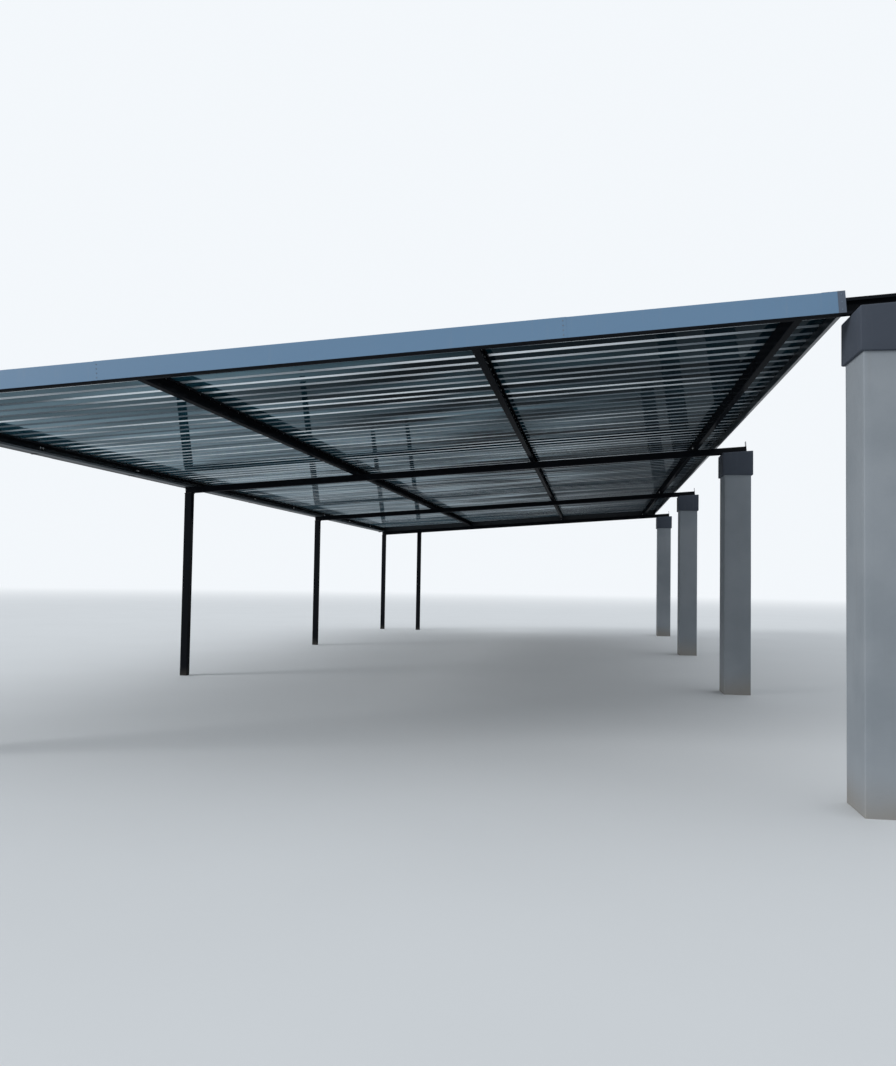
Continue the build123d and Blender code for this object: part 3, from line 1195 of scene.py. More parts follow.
ROOFING_SCREW = Fastener("roofing_screw", Head.HEXAGON, Finish.SCREW, across=0.008, height=0.0052,
                         flange=0.0115, flange_height=0.0011, seal=0.0155, seal_height=0.0024,
                         shank=0.0055, shank_length=0.052, seed=11)
STITCH_SCREW = Fastener("stitch_screw", Head.HEXAGON, Finish.SCREW, across=0.008, height=0.0048,
                        flange=0.011, flange_height=0.001, seal=0.0145, seal_height=0.0022,
                        shank=0.0055, shank_length=0.016, seed=12)
CLEAT_BOLT = Fastener("cleat_bolt", Head.HEXAGON, Finish.ZINC, across=0.019, height=0.0075,
                      flange=0.024, flange_height=0.0025, shank=0.012, shank_length=0.024,
                      nut_depth=0.0065, seed=13)
BRACKET_BOLT = Fastener("bracket_bolt", Head.HEXAGON, Finish.ZINC, across=0.013, height=0.0055,
                        flange=0.018, flange_height=0.0016, shank=0.008, shank_length=0.02,
                        nut_depth=0.0045, seed=14)
POP_RIVET = Fastener("pop_rivet", Head.ROUND, Finish.RIVET, across=0.0085, height=0.0016,
                     shank=0.004, shank_length=0.007, seed=15)


# Welds

@dataclass(frozen=True)
class WeldBead:
    """A painted fillet weld, rippled as it was laid."""

    leg: float = 0.0045
    ripple: float = 0.0032
    depth: float = 0.22
    seed: float = 2.0
    crease: float = 1.3

    def lay(self, name: str, runs: Sequence[Sequence[Vector]]) -> None:
        """Lays beads along lines, as one piece.

        Args:
            name: The piece's name.
            runs: The points of each line.
        """
        pattern = Pattern(name)
        leg, ripple, depth, seed = pattern.take({"Leg": self.leg, "Ripple": self.ripple,
                                                 "Depth": self.depth, "Seed": self.seed})
        path = pattern.node("GeometryNodeMeshToCurve", values={"Mesh": pattern.given})
        path = pattern.node("GeometryNodeResampleCurve", {"mode": "LENGTH"},
                            {"Curve": path, "Length": ripple})
        index = pattern.node("GeometryNodeInputIndex")
        wobble = pattern.node("ShaderNodeTexNoise", {"noise_dimensions": "1D"},
                              {"W": index * 0.37 + seed, "Detail": 2.0, "Scale": 1.0})
        beat = index.math("MODULO", 2.0)
        girth = leg * (1.0 - depth * beat * 0.6) * (0.8 + wobble * 0.4)
        ring = pattern.node("GeometryNodeCurvePrimitiveCircle", {"mode": "RADIUS"},
                            {"Resolution": 8, "Radius": 1.0}, "Curve")
        bead = pattern.node("GeometryNodeCurveToMesh",
                            values={"Curve": path, "Profile Curve": ring, "Scale": girth,
                                    "Fill Caps": True})
        pattern.end(bead, [(Finish.WELD, None)], self.crease)
        points, edges = [], []
        for run in runs:
            start = len(points)
            points.extend(run)
            edges.extend((start + n, start + n + 1) for n in range(len(run) - 1))
        hand_over(pattern.grow(put_mesh(name, points, edges)))


# The roof sheets

@dataclass(frozen=True)
class RibSheets:
    """Box-rib sheets of one bay, made by the rule of their profile."""

    name: str
    node: str
    first: int
    count: int
    foot: float = 0.064
    top: float = 0.034
    height: float = 0.038
    bend: float = 0.0045
    thickness: float = 0.0006
    lap_lift: float = 0.001
    ribs: int = 4
    sheets_in_all: int = 22
    edge: float = 0.0003
    crease: float = 0.75

    def pattern(self) -> Pattern:
        """The tree that rolls one sheet's profile, draws it up the slope and repeats it.

        Returns:
            The tree, with its inputs' values.
        """
        place, crests = ROOF.limits(self.node), self.crests()
        pattern = Pattern(self.name)
        low, high, bed, start, pitch = pattern.take({
            "Low End": place.u0, "High End": place.u1, "Bed": place.w0,
            "First Rib": crests[self.first * self.ribs], "Pitch": crests[1] - crests[0]})
        foot, top, height, bend, lift = pattern.take({
            "Rib Foot": self.foot, "Rib Top": self.top, "Height": self.height, "Bend": self.bend,
            "Lap Lift": self.lap_lift})
        sheets, ribs, slope, origin = pattern.take({
            "Sheets": self.count, "Ribs": self.ribs, "Slope": ROOF.slope,
            "Origin": (ROOF.x0, 0.0, ROOF.z0)})
        line = pattern.node("GeometryNodeMeshLine", values={"Count": (ribs + 1.0) * 4.0})
        index = pattern.node("GeometryNodeInputIndex")
        number = (index / 4.0).math("FLOOR")
        corner = index - number * 4.0
        lapped = number.math("GREATER_THAN", ribs - 0.5)
        last = index.math("GREATER_THAN", ribs * 4.0 + 2.5)
        side = corner.math("GREATER_THAN", 1.5) * 2.0 - 1.0
        reach = abs(corner - 1.5) - 0.5 - last * 0.7
        half = top * 0.5 + reach * (foot - top) * 0.5 + lapped * lift
        along = start + number * pitch + side * half
        up = bed + (1.0 - reach) * (height + lapped * lift)
        line = pattern.node("GeometryNodeSetPosition",
                            values={"Geometry": line, "Position": pattern.vector(low, along, up)})
        line = pattern.node("GeometryNodeMeshToCurve", values={"Mesh": line})
        line = pattern.node("GeometryNodeFilletCurve", {"mode": "POLY"},
                            {"Curve": line, "Count": 2, "Radius": bend, "Limit Radius": True})
        line = pattern.node("GeometryNodeSetCurveNormal", {"mode": "Z_UP"}, {"Curve": line})
        draw = pattern.node("GeometryNodeCurvePrimitiveLine",
                            values={"End": pattern.vector(high - low)}, output="Curve")
        sheet = pattern.node("GeometryNodeCurveToMesh", values={"Curve": line, "Profile Curve": draw})
        steps = pattern.node("GeometryNodeMeshLine",
                             values={"Count": sheets, "Offset": pattern.vector(y=ribs * pitch)})
        turn = pattern.node("FunctionNodeAxisAngleToRotation",
                            values={"Axis": (0.0, -1.0, 0.0), "Angle": slope})
        bay = pattern.node("GeometryNodeTransform", values={"Geometry": pattern.set_out(steps, sheet),
                                                            "Translation": origin, "Rotation": turn})
        pattern.end(bay, [(Finish.SHEET, None)], self.crease)
        return pattern

    def make(self) -> None:
        """Rolls the sheets of this bay and gives them their thickness."""
        piece = self.pattern().grow(put_mesh(self.name))
        hand_over(flatten(thicken(piece, self.thickness, -1)), stands_for=[self.node])

    @classmethod
    def crests(cls) -> list[float]:
        """The place of every rib's middle along the building.

        Returns:
            The places, from front to back.
        """
        margin = cls.edge + cls.foot / 2
        first = ROOF.limits("front_beam").y0 + margin
        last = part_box("back_rafter")[1].y - margin - 2 * cls.lap_lift
        return spread(first, last, cls.sheets_in_all * cls.ribs + 1)


# The studio

@dataclass(frozen=True)
class PhotoCamera:
    """The photograph's viewpoint, fitted to the posts, piers, purlins and fascia."""

    place: Triple = (1.7269, -14.6696, 1.2901)
    yaw: float = 0.1488
    pitch: float = 0.0456
    roll: float = 0.016
    focal_pixels: float = 971.66
    frame_height: float = 1066.0
    sensor: float = 36.0
    clip: Range = (0.1, 500.0)

    def set_up(self) -> None:
        """Adds the camera and makes it the scene's own."""
        ahead = Vector((-math.sin(self.yaw) * math.cos(self.pitch),
                        math.cos(self.yaw) * math.cos(self.pitch), math.sin(self.pitch)))
        level = Vector((math.cos(self.yaw), math.sin(self.yaw), 0.0))
        upright = level.cross(ahead)
        right = level * math.cos(self.roll) + upright * math.sin(self.roll)
        up = upright * math.cos(self.roll) - level * math.sin(self.roll)
        lens = bpy.data.cameras.new("photo_camera")
        lens.sensor_width = self.sensor
        lens.lens = self.focal_pixels / self.frame_height * self.sensor
        lens.clip_start, lens.clip_end = self.clip
        camera = put("photo_camera", lens)
        turn = Matrix((right, up, -ahead)).transposed().to_4x4()
        camera.matrix_world = Matrix.Translation(self.place) @ turn
        bpy.context.scene.camera = camera


@dataclass(frozen=True)
class Studio:
    """A pale floor, a pale backdrop and soft daylight."""

    floor_half: float = 160.0
    sky: Colour = (0.90, 0.935, 0.97)
    sky_light: float = 0.74
    sun_power: float = 2.0
    sun_softness: float = 24.0
    sun_way: Triple = (0.68, 0.45, -0.30)

    def set_up(self) -> None:
        """Adds the floor, the world and the lamp."""
        floor = Shell("studio_floor")
        floor.cap([Vector((x, y, 0.0)) * self.floor_half
                   for x, y in ((-1, -1), (1, -1), (1, 1), (-1, 1))])
        piece = floor.build()
        coat(piece, Finish.STUDIO)
        world = bpy.data.worlds.new("pale_sky")
        world.use_nodes = True
        board = Board(world.node_tree)
        board.tree.nodes.clear()
        path = board.node("ShaderNodeLightPath", output="Is Camera Ray")
        glossy, through = board.others(path, "Is Glossy Ray", "Is Transmission Ray")
        seen = path.math("MAXIMUM", glossy).math("MAXIMUM", through)
        strength = self.sky_light + seen * (1.0 - self.sky_light)
        light = board.node("ShaderNodeBackground", values={"Color": self.sky, "Strength": strength})
        board.node("ShaderNodeOutputWorld", values={"Surface": light}, output=None)
        bpy.context.scene.world = world
        lamp = bpy.data.lights.new("soft_sun", "SUN")
        lamp.energy = self.sun_power
        lamp.angle = math.radians(self.sun_softness)
        put("soft_sun", lamp).rotation_euler = Vector(self.sun_way).to_track_quat("-Z", "Y").to_euler()
        bpy.context.scene.view_settings.view_transform = "Standard"


# The sub-assemblies

@dataclass(frozen=True)
class SteelFrame:
    """Posts, rafters, beam, purlins and cleats, with their welds and bolts."""

    wall: float = 0.002
    lip: float = 0.02
    bend: float = 0.0042
    cleat_wall: float = 0.004
    cleat_bend: float = 0.005
    post_corner: float = 0.004
    plate: float = 0.005
    bolt_half_pitch: float = 0.016
    bolt_level: float = 0.6
    weld_gap: float = 0.002
    plate_weld_foot: float = 0.006
    posts: tuple[str, ...] = ("front_left_post", "second_post", "third_post", "back_corner_post",
                              "back_inner_post")

    def make(self) -> None:
        """Dresses the steel and adds what holds it together."""
        dress(Finish.FRAME, *self.posts, "post_cap_plates", *RAFTERS)
        dress(Finish.PRIMER, "rafter_end_plates")
        for node in PURLINS:
            s = ROOF.limits(node)
            finish = Finish.EAVE if node == PURLINS[0] else Finish.FRAME
            self.channel(node, s.u1, s.u0, Grain.ALONG, (s.y0, s.y1), finish)
        s = ROOF.limits("front_beam")
        self.channel("front_beam", s.y0, s.y1, Grain.UP_SLOPE, (s.u0, s.u1), Finish.FRAME)
        self.cleats()
        self.bolts()
        self.welds()

    def channel(self, node: str, mouth: float, web: float, grain: Grain, ends: Range,
                finish: Finish) -> None:
        """One lipped channel in place of a packed part.

        Args:
            node: The packed part.
            mouth: Where its open side is.
            web: Where its closed side is.
            grain: The axis that it lies along.
            ends: Where it starts and ends.
            finish: Its paint.
        """
        s = ROOF.limits(node)
        line = [(mouth, s.w0 + self.lip), (mouth, s.w0), (web, s.w0), (web, s.w1), (mouth, s.w1),
                (mouth, s.w1 - self.lip)]
        piece = Folded(f"{node}_channel", line, self.wall, self.bend, -1, grain).draw([(*ends, 0.0)])
        hand_over(piece, finish, [node])

    def webs(self) -> list[float]:
        """Where the webs of the three purlins that have cleats are, up the slope."""
        return [ROOF.limits(node).u0 for node in PURLINS[1:]]

    def cleats(self) -> None:
        """Rolled angles on the rafters, and angles between the purlins and the front beam."""
        on_rafters, on_beam = ROOF.limits("purlin_cleats"), ROOF.limits("beam_cleats")
        leg = self.webs()[0] - on_rafters.u0
        half = on_rafters.y1 - RAFTER_LINES[-1]
        spans = [(y - half, y + half, 0.0) for y in RAFTER_LINES]
        kinds = (("purlin_cleats", on_rafters.w0, on_rafters.w1, -1, Grain.ALONG, spans),
                 ("beam_cleat", on_beam.y0, on_beam.y1, 1, Grain.SQUARE,
                  [(on_beam.w0, on_beam.w1, 0.0)]))
        angles = []
        for n, web in enumerate(self.webs()):
            for name, base, end, side, grain, lengths in kinds:
                line = [(web - leg, base + self.cleat_wall),
                        (web - self.cleat_wall, base + self.cleat_wall), (web - self.cleat_wall, end)]
                angle = Folded(f"{name}_{n + 1}", line, self.cleat_wall, self.cleat_bend, side, grain)
                angles.append(angle.draw(lengths))
        for angle in angles:
            replaced = ["purlin_cleats", "beam_cleats"] if angle is angles[-1] else []
            hand_over(angle, Finish.FRAME, replaced)

    def bolts(self) -> None:
        """Zinc bolts through the cleats."""
        cleat, beam = ROOF.limits("purlin_cleats"), ROOF.limits("beam_cleats")
        level = cleat.w0 + self.bolt_level * (cleat.w1 - cleat.w0)
        out = self.bolt_level * (beam.y1 - beam.y0)
        seats = []
        for web in self.webs():
            seats += ROOF.seats([web - self.cleat_wall], pairs(RAFTER_LINES, self.bolt_half_pitch),
                                [level], DOWN_SLOPE)
            for w in pairs([(beam.w0 + beam.w1) / 2], self.bolt_half_pitch):
                seats.append((ROOF.at(web - self.cleat_wall, beam.y0 + out, w), DOWN_SLOPE))
                seats.append((ROOF.at(web - out, beam.y0 + self.cleat_wall, w), TO_BACK))
        CLEAT_BOLT.fix("cleat_bolts", seats)

    def welds(self) -> None:
        """Fillet welds round the posts, along the rafters' seats and round the end plates."""
        runs = []
        rafter = ROOF.limits("middle_rafter")
        for node in self.posts:
            under_beam = node == self.posts[0]
            seat = ROOF.limits("front_beam").w0 if under_beam else 0.0
            low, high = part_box(node)
            middle, half = (low + high) / 2, (high.y - low.y) / 2
            ring = soft_rectangle(middle, half, half, self.post_corner, turns=2)
            foot = ROOF.z0 + (seat - self.plate) / math.cos(ROOF.slope)
            runs.append([Vector((x, y, foot + (x - ROOF.x0) * math.tan(ROOF.slope)))
                         for x, y in ring + ring[:1]])
            if not under_beam:
                u = (middle.x - ROOF.x0) / math.cos(ROOF.slope)
                runs += [[ROOF.at(u - half, y, 0.0), ROOF.at(u + half, y, 0.0)]
                         for y in pairs([middle.y], rafter.w1 / 2)]
        plate = ROOF.limits("rafter_end_plates")
        half = plate.y1 - RAFTER_LINES[-1] - self.post_corner / 2
        levels = ((-1, self.plate_weld_foot), (-1, rafter.w1), (1, rafter.w1), (1, self.plate_weld_foot))
        runs += [[ROOF.at(plate.u0, y + side * half, w) for side, w in levels] for y in RAFTER_LINES]
        cleat = ROOF.limits("purlin_cleats")
        leg = self.webs()[0] - cleat.u0
        half = cleat.y1 - RAFTER_LINES[-1]
        foot = ((self.weld_gap, 1), (leg, 1), (leg, -1), (self.weld_gap, -1))
        runs += [[ROOF.at(web - reach, y + side * half, cleat.w0) for reach, side in foot]
                 for web in self.webs() for y in RAFTER_LINES]
        WeldBead().lay("weld_beads", runs)


@dataclass(frozen=True)
class SheetRoof:
    """The three bays of roof sheets and their screws."""

    screw_gap: float = 0.62
    bays: tuple[tuple[str, int, int], ...] = (("front", 0, 8), ("middle", 8, 7), ("back", 15, 7))

    def make(self) -> None:
        """Rolls the sheets and screws them down."""
        for bay, first, count in self.bays:
            RibSheets(f"{bay}_bay_sheets", f"roof_sheets_{bay}", first, count).make()
        top = ROOF.limits("roof_sheets_front").w1
        lines = [ROOF.limits(node) for node in PURLINS]
        middles = [(line.u0 + line.u1) / 2 for line in lines]
        crests = RibSheets.crests()
        laps = [y for n, y in enumerate(crests[:-1]) if n and n % RibSheets.ribs == 0]
        levels = [top if y in (*laps, crests[-1]) else top - RibSheets.lap_lift for y in crests]
        seats = [(ROOF.at(u, y, w), SKYWARD) for u in middles for y, w in zip(crests, levels)]
        ROOFING_SCREW.fix("roofing_screws", seats)
        stitches = []
        for low, high in zip(middles, middles[1:]):
            stitches += spread(low, high, round((high - low) / self.screw_gap) + 1)[1:-1]
        STITCH_SCREW.fix("lap_screws",
                         [(ROOF.at(u, y, top), SKYWARD) for y in laps for u in stitches])


@dataclass(frozen=True)
class Trim:
    """The folded flashings of the roof's edges, their laps, rivets and screws."""

    thickness: float = 0.0008
    bend: float = 0.0022
    joints: Range = (1.92, 4.92)
    lap: float = 0.07
    lift: float = 0.001
    clearance: float = 0.0003
    closure_foot: float = 0.03
    side_turn: float = 0.025
    side_top_leg: float = 0.13
    side_lengths: int = 6
    strap: float = 0.0006
    strap_ends: Range = (0.004, 0.006)
    cover_ends: Range = (0.012, 0.004)
    screw_gap: float = 0.6
    screw_ends: Range = (0.12, 0.2)
    side_screws: float = 0.118
    lap_rivets: Range = (0.018, 0.022)
    corner_rivets: float = 0.02
    corner_inset: float = 0.022
    strap_rivets: Range = (0.02, 0.024)
    strap_half_pitch: float = 0.02

    def make(self) -> None:
        """Folds the flashings and fixes them."""
        front, back = ROOF.limits("front_fascia"), ROOF.limits("back_fascia")
        side = ROOF.limits("side_flashing")
        self.fascia("front_fascia", front, 1)
        self.fascia("back_fascia", back, -1)
        self.high_side(side)
        # The corner covers wear the flashing coating darkened as painted shade.
        dress(Finish.CORNER, "corner_covers")
        self.closure(back)
        self.screws(front, back, side)
        self.rivets(front, back, side)

    def fold(self, name: str, line: Line, lengths: Sequence[Triple], side: int = -1,
             grain: Grain = Grain.ALONG, stands_for: Sequence[str] = (),
             thickness: Optional[float] = None) -> None:
        """Folds one flashing and hands it over.

        Args:
            name: The piece's name.
            line: The line that it is folded along.
            lengths: Each length's two ends and how far it lies outside the line.
            side: The side of the line that its thickness is on.
            grain: The axis that it lies along.
            stands_for: The packed parts that it is shown for.
            thickness: Its own thickness, if it isn't that of the flashings.
        """
        piece = Folded(name, line, thickness or self.thickness, self.bend, side, grain).draw(lengths)
        hand_over(piece, Finish.FLASHING, stands_for)

    def fascia(self, node: str, s: Section, inward: int) -> None:
        """The upright face and top leg along one end of the roof, in three lapped lengths.

        Args:
            node: The packed part that it is shown for.
            s: Its limits.
            inward: 1 at the front and -1 at the back.
        """
        near, far = (s.y0, s.y1) if inward > 0 else (s.y1, s.y0)
        face, bed = near + inward * self.thickness, s.w1 - self.thickness
        half = self.lap / 2
        first, second = self.joints
        lengths = [(s.u0, first + half, 0.0), (first - half, second + half, self.lift * inward),
                   (second - half, s.u1, 0.0)]
        self.fold(f"{node}_lengths", [(face, s.w0), (face, bed), (far, bed)], lengths, -inward,
                  Grain.UP_SLOPE, [node])

    def closure(self, fascia: Section) -> None:
        """The strip that closes the gap between the back fascia's foot and the back rafter.

        Args:
            fascia: The limits of the back fascia.
        """
        rafter = ROOF.limits("back_rafter")
        line = [(rafter.y1 - self.closure_foot, rafter.w1), (rafter.y1, rafter.w1),
                (rafter.y1, fascia.w0 + self.lap / 4)]
        self.fold("back_closure", line, [(fascia.u0, fascia.u1, 0.0)], 1, Grain.UP_SLOPE)

    def side_joints(self, s: Section) -> list[float]:
        """Where the lengths of the high side's flashing meet."""
        return spread(s.y0, s.y1, self.side_lengths + 1)[1:-1]

    def high_side(self, s: Section) -> None:
        """The flashing along the high side, with a joint strap and cover over each joint.

        Args:
            s: The limits of the packed flashing.
        """
        beam = ROOF.limits("front_beam")
        face, bed, bottom = s.u1 - self.thickness, s.w1 - self.thickness, s.w0 + self.thickness
        past_beam, over_beam = beam.y1 + self.clearance, beam.w1 + self.clearance
        top = [(face, bed), (face - self.side_top_leg, bed)]
        self.fold("side_flashing_lengths", [(face - self.side_turn, bottom), (face, bottom), *top],
                  [(past_beam, s.y1, 0.0)])
        self.fold("side_flashing_front_end", [(face, over_beam), *top], [(s.y0, past_beam, 0.0)],
                  stands_for=["side_flashing"])
        spans = [(y - self.lap / 2, y + self.lap / 2, 0.0) for y in self.side_joints(s)]
        low, high = self.strap_ends
        self.fold("side_joint_straps", [(s.u1, s.w0 + low), (s.u1, s.w1 - high)], spans,
                  thickness=self.strap)
        near, far = self.cover_ends
        self.fold("side_joint_covers", [(s.u1 - near, s.w1), (s.u1 - self.side_top_leg + far, s.w1)],
                  spans, thickness=self.strap)

    def screws(self, front: Section, back: Section, side: Section) -> None:
        """Screws through the top legs into the ribs.

        Args:
            front: The limits of the front fascia.
            back: The limits of the back fascia.
            side: The limits of the high side's flashing.
        """
        crests = RibSheets.crests()
        first, second = self.joints
        count = round((front.u1 - front.u0) / self.screw_gap)
        seats = []
        for s, y in ((front, crests[0]), (back, crests[-1])):
            for u in spread(s.u0 + self.screw_ends[0], s.u1 - self.screw_ends[1], count):
                raised = self.lift if first < u < second else 0.0
                seats.append((ROOF.at(u, y, s.w1 + raised), SKYWARD))
        seats += ROOF.seats([side.u1 - self.side_screws], crests[2:-1:2], [side.w1], SKYWARD)
        STITCH_SCREW.fix("flashing_screws", seats)

    def rivets(self, front: Section, back: Section, side: Section) -> None:
        """Rivets at the laps, the corner covers and the joint straps.

        Args:
            front: The limits of the front fascia.
            back: The limits of the back fascia.
            side: The limits of the high side's flashing.
        """
        seats = []
        low, high = self.lap_rivets
        first, second = self.joints
        across = [first - self.lap * 0.2, second + self.lap * 0.2]
        for s, face, way in ((front, front.y0 - self.lift, TO_FRONT),
                             (back, back.y1 + self.lift, TO_BACK)):
            seats += ROOF.seats(across, [face], spread(s.w0 + low, s.w1 - high, 4), way)
        cover = ROOF.limits("corner_covers")
        levels = spread(cover.w0 + self.corner_rivets, cover.w1 - self.corner_rivets, 3)
        for y, inward, way in ((cover.y0, self.corner_inset, TO_FRONT),
                               (cover.y1, -self.corner_inset, TO_BACK)):
            seats += ROOF.seats([cover.u1 - self.corner_inset], [y], levels, way)
            seats += ROOF.seats([cover.u1], [y + inward], levels, UP_SLOPE)
        low, high = self.strap_rivets
        seats += ROOF.seats([side.u1 + self.strap], pairs(self.side_joints(side), self.strap_half_pitch),
                            spread(side.w0 + low, side.w1 - high, 3), UP_SLOPE)
        POP_RIVET.fix("flashing_rivets", seats)


@dataclass(frozen=True)
class RainGoods:
    """The box gutter, its brackets and its downpipe."""

    wall: float = 0.0008
    bend: float = 0.0022
    bead: float = 0.0036
    lengths: int = 6
    lap: float = 0.06
    lap_lift: float = 0.0009
    pipe_wall: float = 0.0015
    outlet_rim: float = 0.004
    upper_sleeve: Range = (0.075, 0.012)
    lower_sleeve: Range = (1.06, 1.13)
    sleeve_corner: float = 0.006
    sleeve_end: float = 0.004
    sleeve_gap: float = 0.0002
    bracket_half: float = 0.0125
    bracket_pitch: float = 1.95
    bracket_count: int = 9
    bolt_half_pitch: float = 0.02
    bolt_drop: float = 0.036
    purlin_wall: float = 0.002
    strap_rivets: Range = (0.02, 0.022)
    lap_rivet: float = 0.02
    wall_rivets: Range = (0.015, 0.016)
    floor_rivets: float = 0.018
    cap_rivets: float = 0.016
    cap_rivet_level: float = 0.009

    def make(self) -> None:
        """Folds the gutter, dresses its brackets and pipe, and fixes them."""
        outer, back = ROOF.limits("gutter_outer_wall"), ROOF.limits("gutter_back_wall")
        floor = ROOF.limits("gutter_floor")
        self.trough(outer, back, floor)
        dress(Finish.GUTTER, "gutter_end_caps", "downpipe", "downpipe_clips")
        dress(Finish.FRAME, "gutter_brackets")
        self.sleeves()
        self.bolts(outer, floor)
        self.rivets(outer, floor)

    def trough(self, outer: Section, back: Section, floor: Section) -> None:
        """The folded trough with its rolled bead and the outlet in its floor.

        Args:
            outer: The limits of its outer wall.
            back: The limits of its back wall.
            floor: The limits of its floor.
        """
        low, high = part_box("downpipe")
        half = (high.x - low.x) / 2 - self.pipe_wall
        hole_u, hole_y = (floor.u0 + floor.u1) / 2, (low.y + high.y) / 2
        bead = [(floor.u0 - self.bead + self.bead * math.cos(angle),
                 back.w1 - self.bead + self.bead * math.sin(angle))
                for angle in (math.radians(degrees) for degrees in range(250, -1, -25))]
        line = bead + [(u, floor.w0) for u in (floor.u0, hole_u - half, hole_u + half, back.u1)]
        line.append((back.u1, back.w1))

        def outlet(u: float, y: float) -> bool:
            """Whether a face lies over the outlet."""
            return max(abs(u - hole_u), abs(y - hole_y)) < half - self.outlet_rim

        joints, over = self.joints(outer), self.lap / 2
        starts = [outer.y0, *(y - over for y in joints)]
        ends = [*(y + over for y in joints), outer.y1]
        lengths = [(start, end, -self.lap_lift * (n % 2)) for n, (start, end) in
                   enumerate(zip(starts, ends))]
        folded = Folded("box_gutter", line, self.wall, self.bend, 1)
        hand_over(folded.draw(lengths, (hole_y - half, hole_y + half), outlet),
                  Finish.GUTTER,
                  ["gutter_outer_wall", "gutter_back_wall", "gutter_floor", "gutter_outlet"])

    def joints(self, outer: Section) -> list[float]:
        """Where the lengths of the gutter meet."""
        return spread(outer.y0, outer.y1, self.lengths + 1)[1:-1]

    def sleeves(self) -> None:
        """Swaged sockets round the downpipe: under the gutter and at the pipe's joint."""
        low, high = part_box("downpipe")
        half = (high - low) / 2
        shell = Shell("downpipe_sleeves")
        top, bottom = self.upper_sleeve
        for start, end, grow in ((high.z - top, high.z - bottom, 0.0016), (*self.lower_sleeve, 0.0014)):
            steps = ((start, self.sleeve_gap), (start + self.sleeve_end, grow),
                     (end - self.sleeve_end, grow), (end, self.sleeve_gap))
            shell.grid([[Vector((x, y, z)) for x, y in
                         soft_rectangle(low + half, half.x + more, half.y + more, self.sleeve_corner)]
                        for z, more in steps], ring=True)
        hand_over(shell.build(40.0), Finish.GUTTER)

    def bolts(self, outer: Section, floor: Section) -> None:
        """Bolts and rivets at the brackets.

        Args:
            outer: The limits of the gutter's outer wall.
            floor: The limits of its floor.
        """
        eave, strap = ROOF.limits("eave_purlin"), ROOF.limits("gutter_brackets")
        first = strap.y0 + self.bracket_half
        brackets = [first + self.bracket_pitch * n for n in range(self.bracket_count)]
        BRACKET_BOLT.fix("bracket_bolts",
                         ROOF.seats([eave.u0 + self.purlin_wall],
                                    pairs(brackets, self.bolt_half_pitch),
                                    [eave.w1 - self.bolt_drop], UP_SLOPE))
        low, high = self.strap_rivets
        POP_RIVET.fix("bracket_rivets",
                      ROOF.seats([strap.u0], brackets, [floor.w0 + low, outer.w1 - high], DOWN_SLOPE))

    def rivets(self, outer: Section, floor: Section) -> None:
        """Rivets at the laps and end caps, and screws in the pipe's clips.

        Args:
            outer: The limits of the gutter's outer wall.
            floor: The limits of its floor.
        """
        seats = []
        low, high = self.wall_rivets
        up_wall = spread(floor.w0 + low, outer.w1 - high, 3)
        across_floor, across_cap = (spread(floor.u0 + inset, floor.u1 - inset, 3)
                                    for inset in (self.floor_rivets, self.cap_rivets))
        for n, joint in enumerate(self.joints(outer)):
            y = joint + (-self.lap_rivet if n % 2 else self.lap_rivet)
            seats += ROOF.seats([floor.u0 - self.lap_lift], [y], up_wall, DOWN_SLOPE)
            seats += ROOF.seats(across_floor, [y], [floor.w0 - self.lap_lift], FLOORWARD)
        caps = ROOF.limits("gutter_end_caps")
        for y, way in ((caps.y0, TO_FRONT), (caps.y1, TO_BACK)):
            seats += ROOF.seats(across_cap, [y], [floor.w0 + self.cap_rivet_level], way)
        POP_RIVET.fix("gutter_rivets", seats)
        low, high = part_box("downpipe_clips")
        x = (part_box("downpipe")[1].x + high.x) / 2
        STITCH_SCREW.fix("clip_screws",
                         [(Vector((x, low.y, z)), TO_FRONT)
                          for z in (low.z + self.bracket_half, high.z - self.bracket_half)])


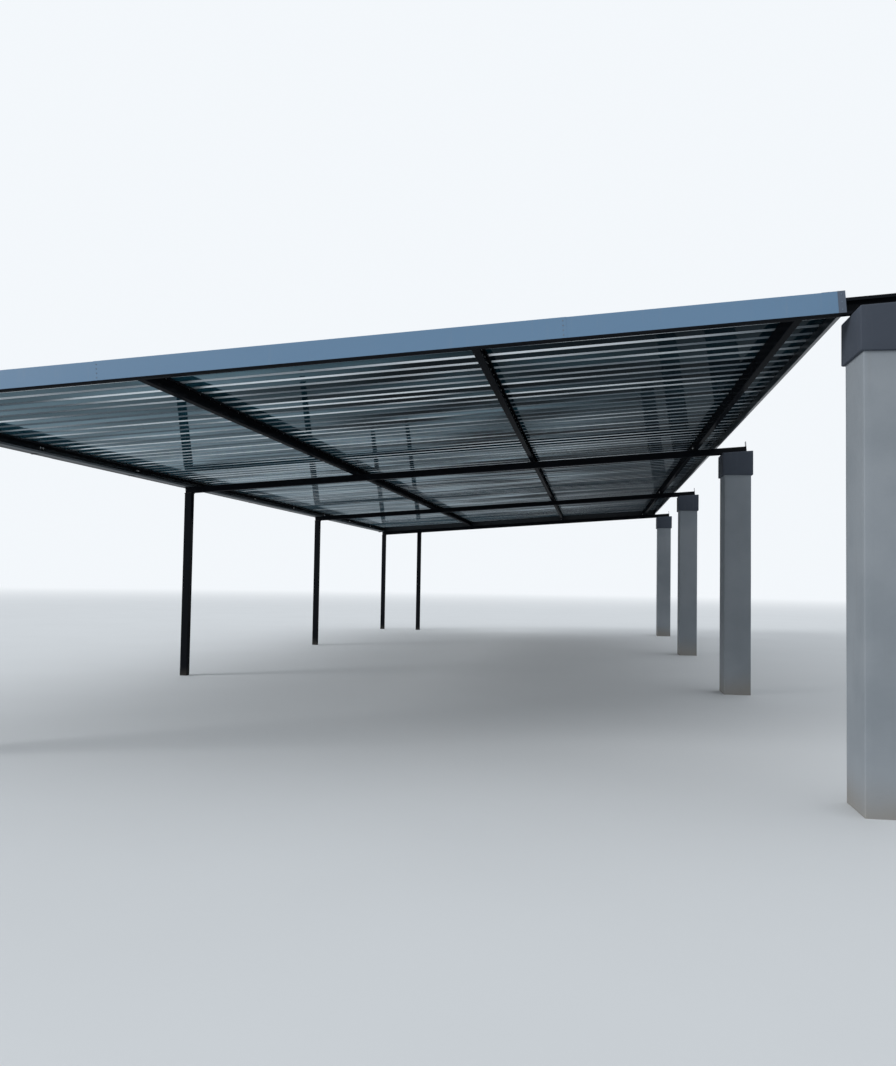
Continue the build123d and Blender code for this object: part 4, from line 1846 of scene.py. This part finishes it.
@dataclass(frozen=True)
class Piers:
    """Plastered piers under the high ends of the rafters, each with its proud band."""

    names: tuple[str, ...] = ("front_pier", "second_pier", "third_pier", "back_pier")
    arris: float = 0.007
    least_corner: float = 0.002
    wander: float = 0.0022
    wander_scale: float = 2.1
    tuck: float = 0.004
    side_parts: int = 7
    height_parts: int = 30
    band_parts: int = 5
    crease: float = 50.0

    def make(self) -> None:
        """Plasters the shafts and their bands."""
        for name in self.names:
            self.shaft(name)
            self.band(name)

    def level(self, x: float, high: Vector) -> float:
        """The height of a pier's sloping top over this place."""
        return high.z - (high.x - x) * math.tan(ROOF.slope)

    def ring(self, low: Vector, high: Vector, height: Callable[[float], float],
             inset: float) -> list[Vector]:
        """One ring of points round a pier.

        Args:
            low: The lowest corner of its box.
            high: The highest corner of its box.
            height: The ring's height over a place.
            inset: How far inside the box the ring lies.

        Returns:
            The points, moved in a little here and there as a float leaves them.
        """
        middle = (low + high) / 2
        half_x, half_y = (high.x - low.x) / 2 - inset, (high.y - low.y) / 2 - inset
        corner = max(self.arris - inset * 0.3, self.least_corner)
        made = []
        for x, y in soft_rectangle(middle, half_x, half_y, corner, self.side_parts):
            point = Vector((x, y, height(x)))
            worn = self.wander * (0.5 + 0.5 * noise.noise(point * self.wander_scale))
            made.append(point + Vector((middle.x - x, middle.y - y, 0.0)).normalized() * worn)
        return made

    def shaft(self, name: str) -> None:
        """The shaft of one pier, from the floor to the steel.

        Args:
            name: The pier.
        """
        low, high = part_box(name)
        shell = Shell(f"{name}_shaft")
        rows = [self.ring(low, high, lambda x, t=t: low.z + (self.level(x, high) - low.z) * t, 0.0)
                for t in spread(0.0, 1.0, self.height_parts)]
        shell.grid(rows, ring=True)
        shell.cap(rows[0][::-1])
        shell.cap(rows[-1])
        hand_over(shell.build(self.crease), Finish.PLASTER, [name])

    def band(self, pier: str) -> None:
        """The band round one pier's top.

        Args:
            pier: The pier.
        """
        name = f"{pier}_band"
        low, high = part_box(name)
        proud = high.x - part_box(pier)[1].x
        deep = self.level(low.x, high) - low.z
        rim = [(0.0, proud + self.tuck), (0.0, self.arris), (self.arris * 0.3, self.arris * 0.3),
               (self.arris, 0.0)]
        face = [(rise, 0.0) for rise in spread(self.arris, deep - self.arris, self.band_parts)[1:]]
        rows = [self.ring(low, high, lambda x, rise=rise: low.z + rise, inset)
                for rise, inset in rim + face]
        rows += [self.ring(low, high, lambda x, drop=drop: self.level(x, high) - drop, inset)
                 for drop, inset in reversed(rim)]
        shell = Shell(f"{name}_plaster")
        shell.grid(rows + rows[:1], ring=True)
        hand_over(shell.build(self.crease), Finish.BAND, [name])


def main() -> None:
    """Builds the carport's looks, sub-assembly by sub-assembly, and the studio round it."""
    logging.basicConfig(level=logging.INFO, format="%(name)s: %(message)s")
    PhotoCamera().set_up()
    Studio().set_up()
    for part in (SteelFrame(), SheetRoof(), Trim(), RainGoods(), Piers()):
        log.info("%s", type(part).__doc__.splitlines()[0])
        part.make()


if __name__ == "__main__":
    main()
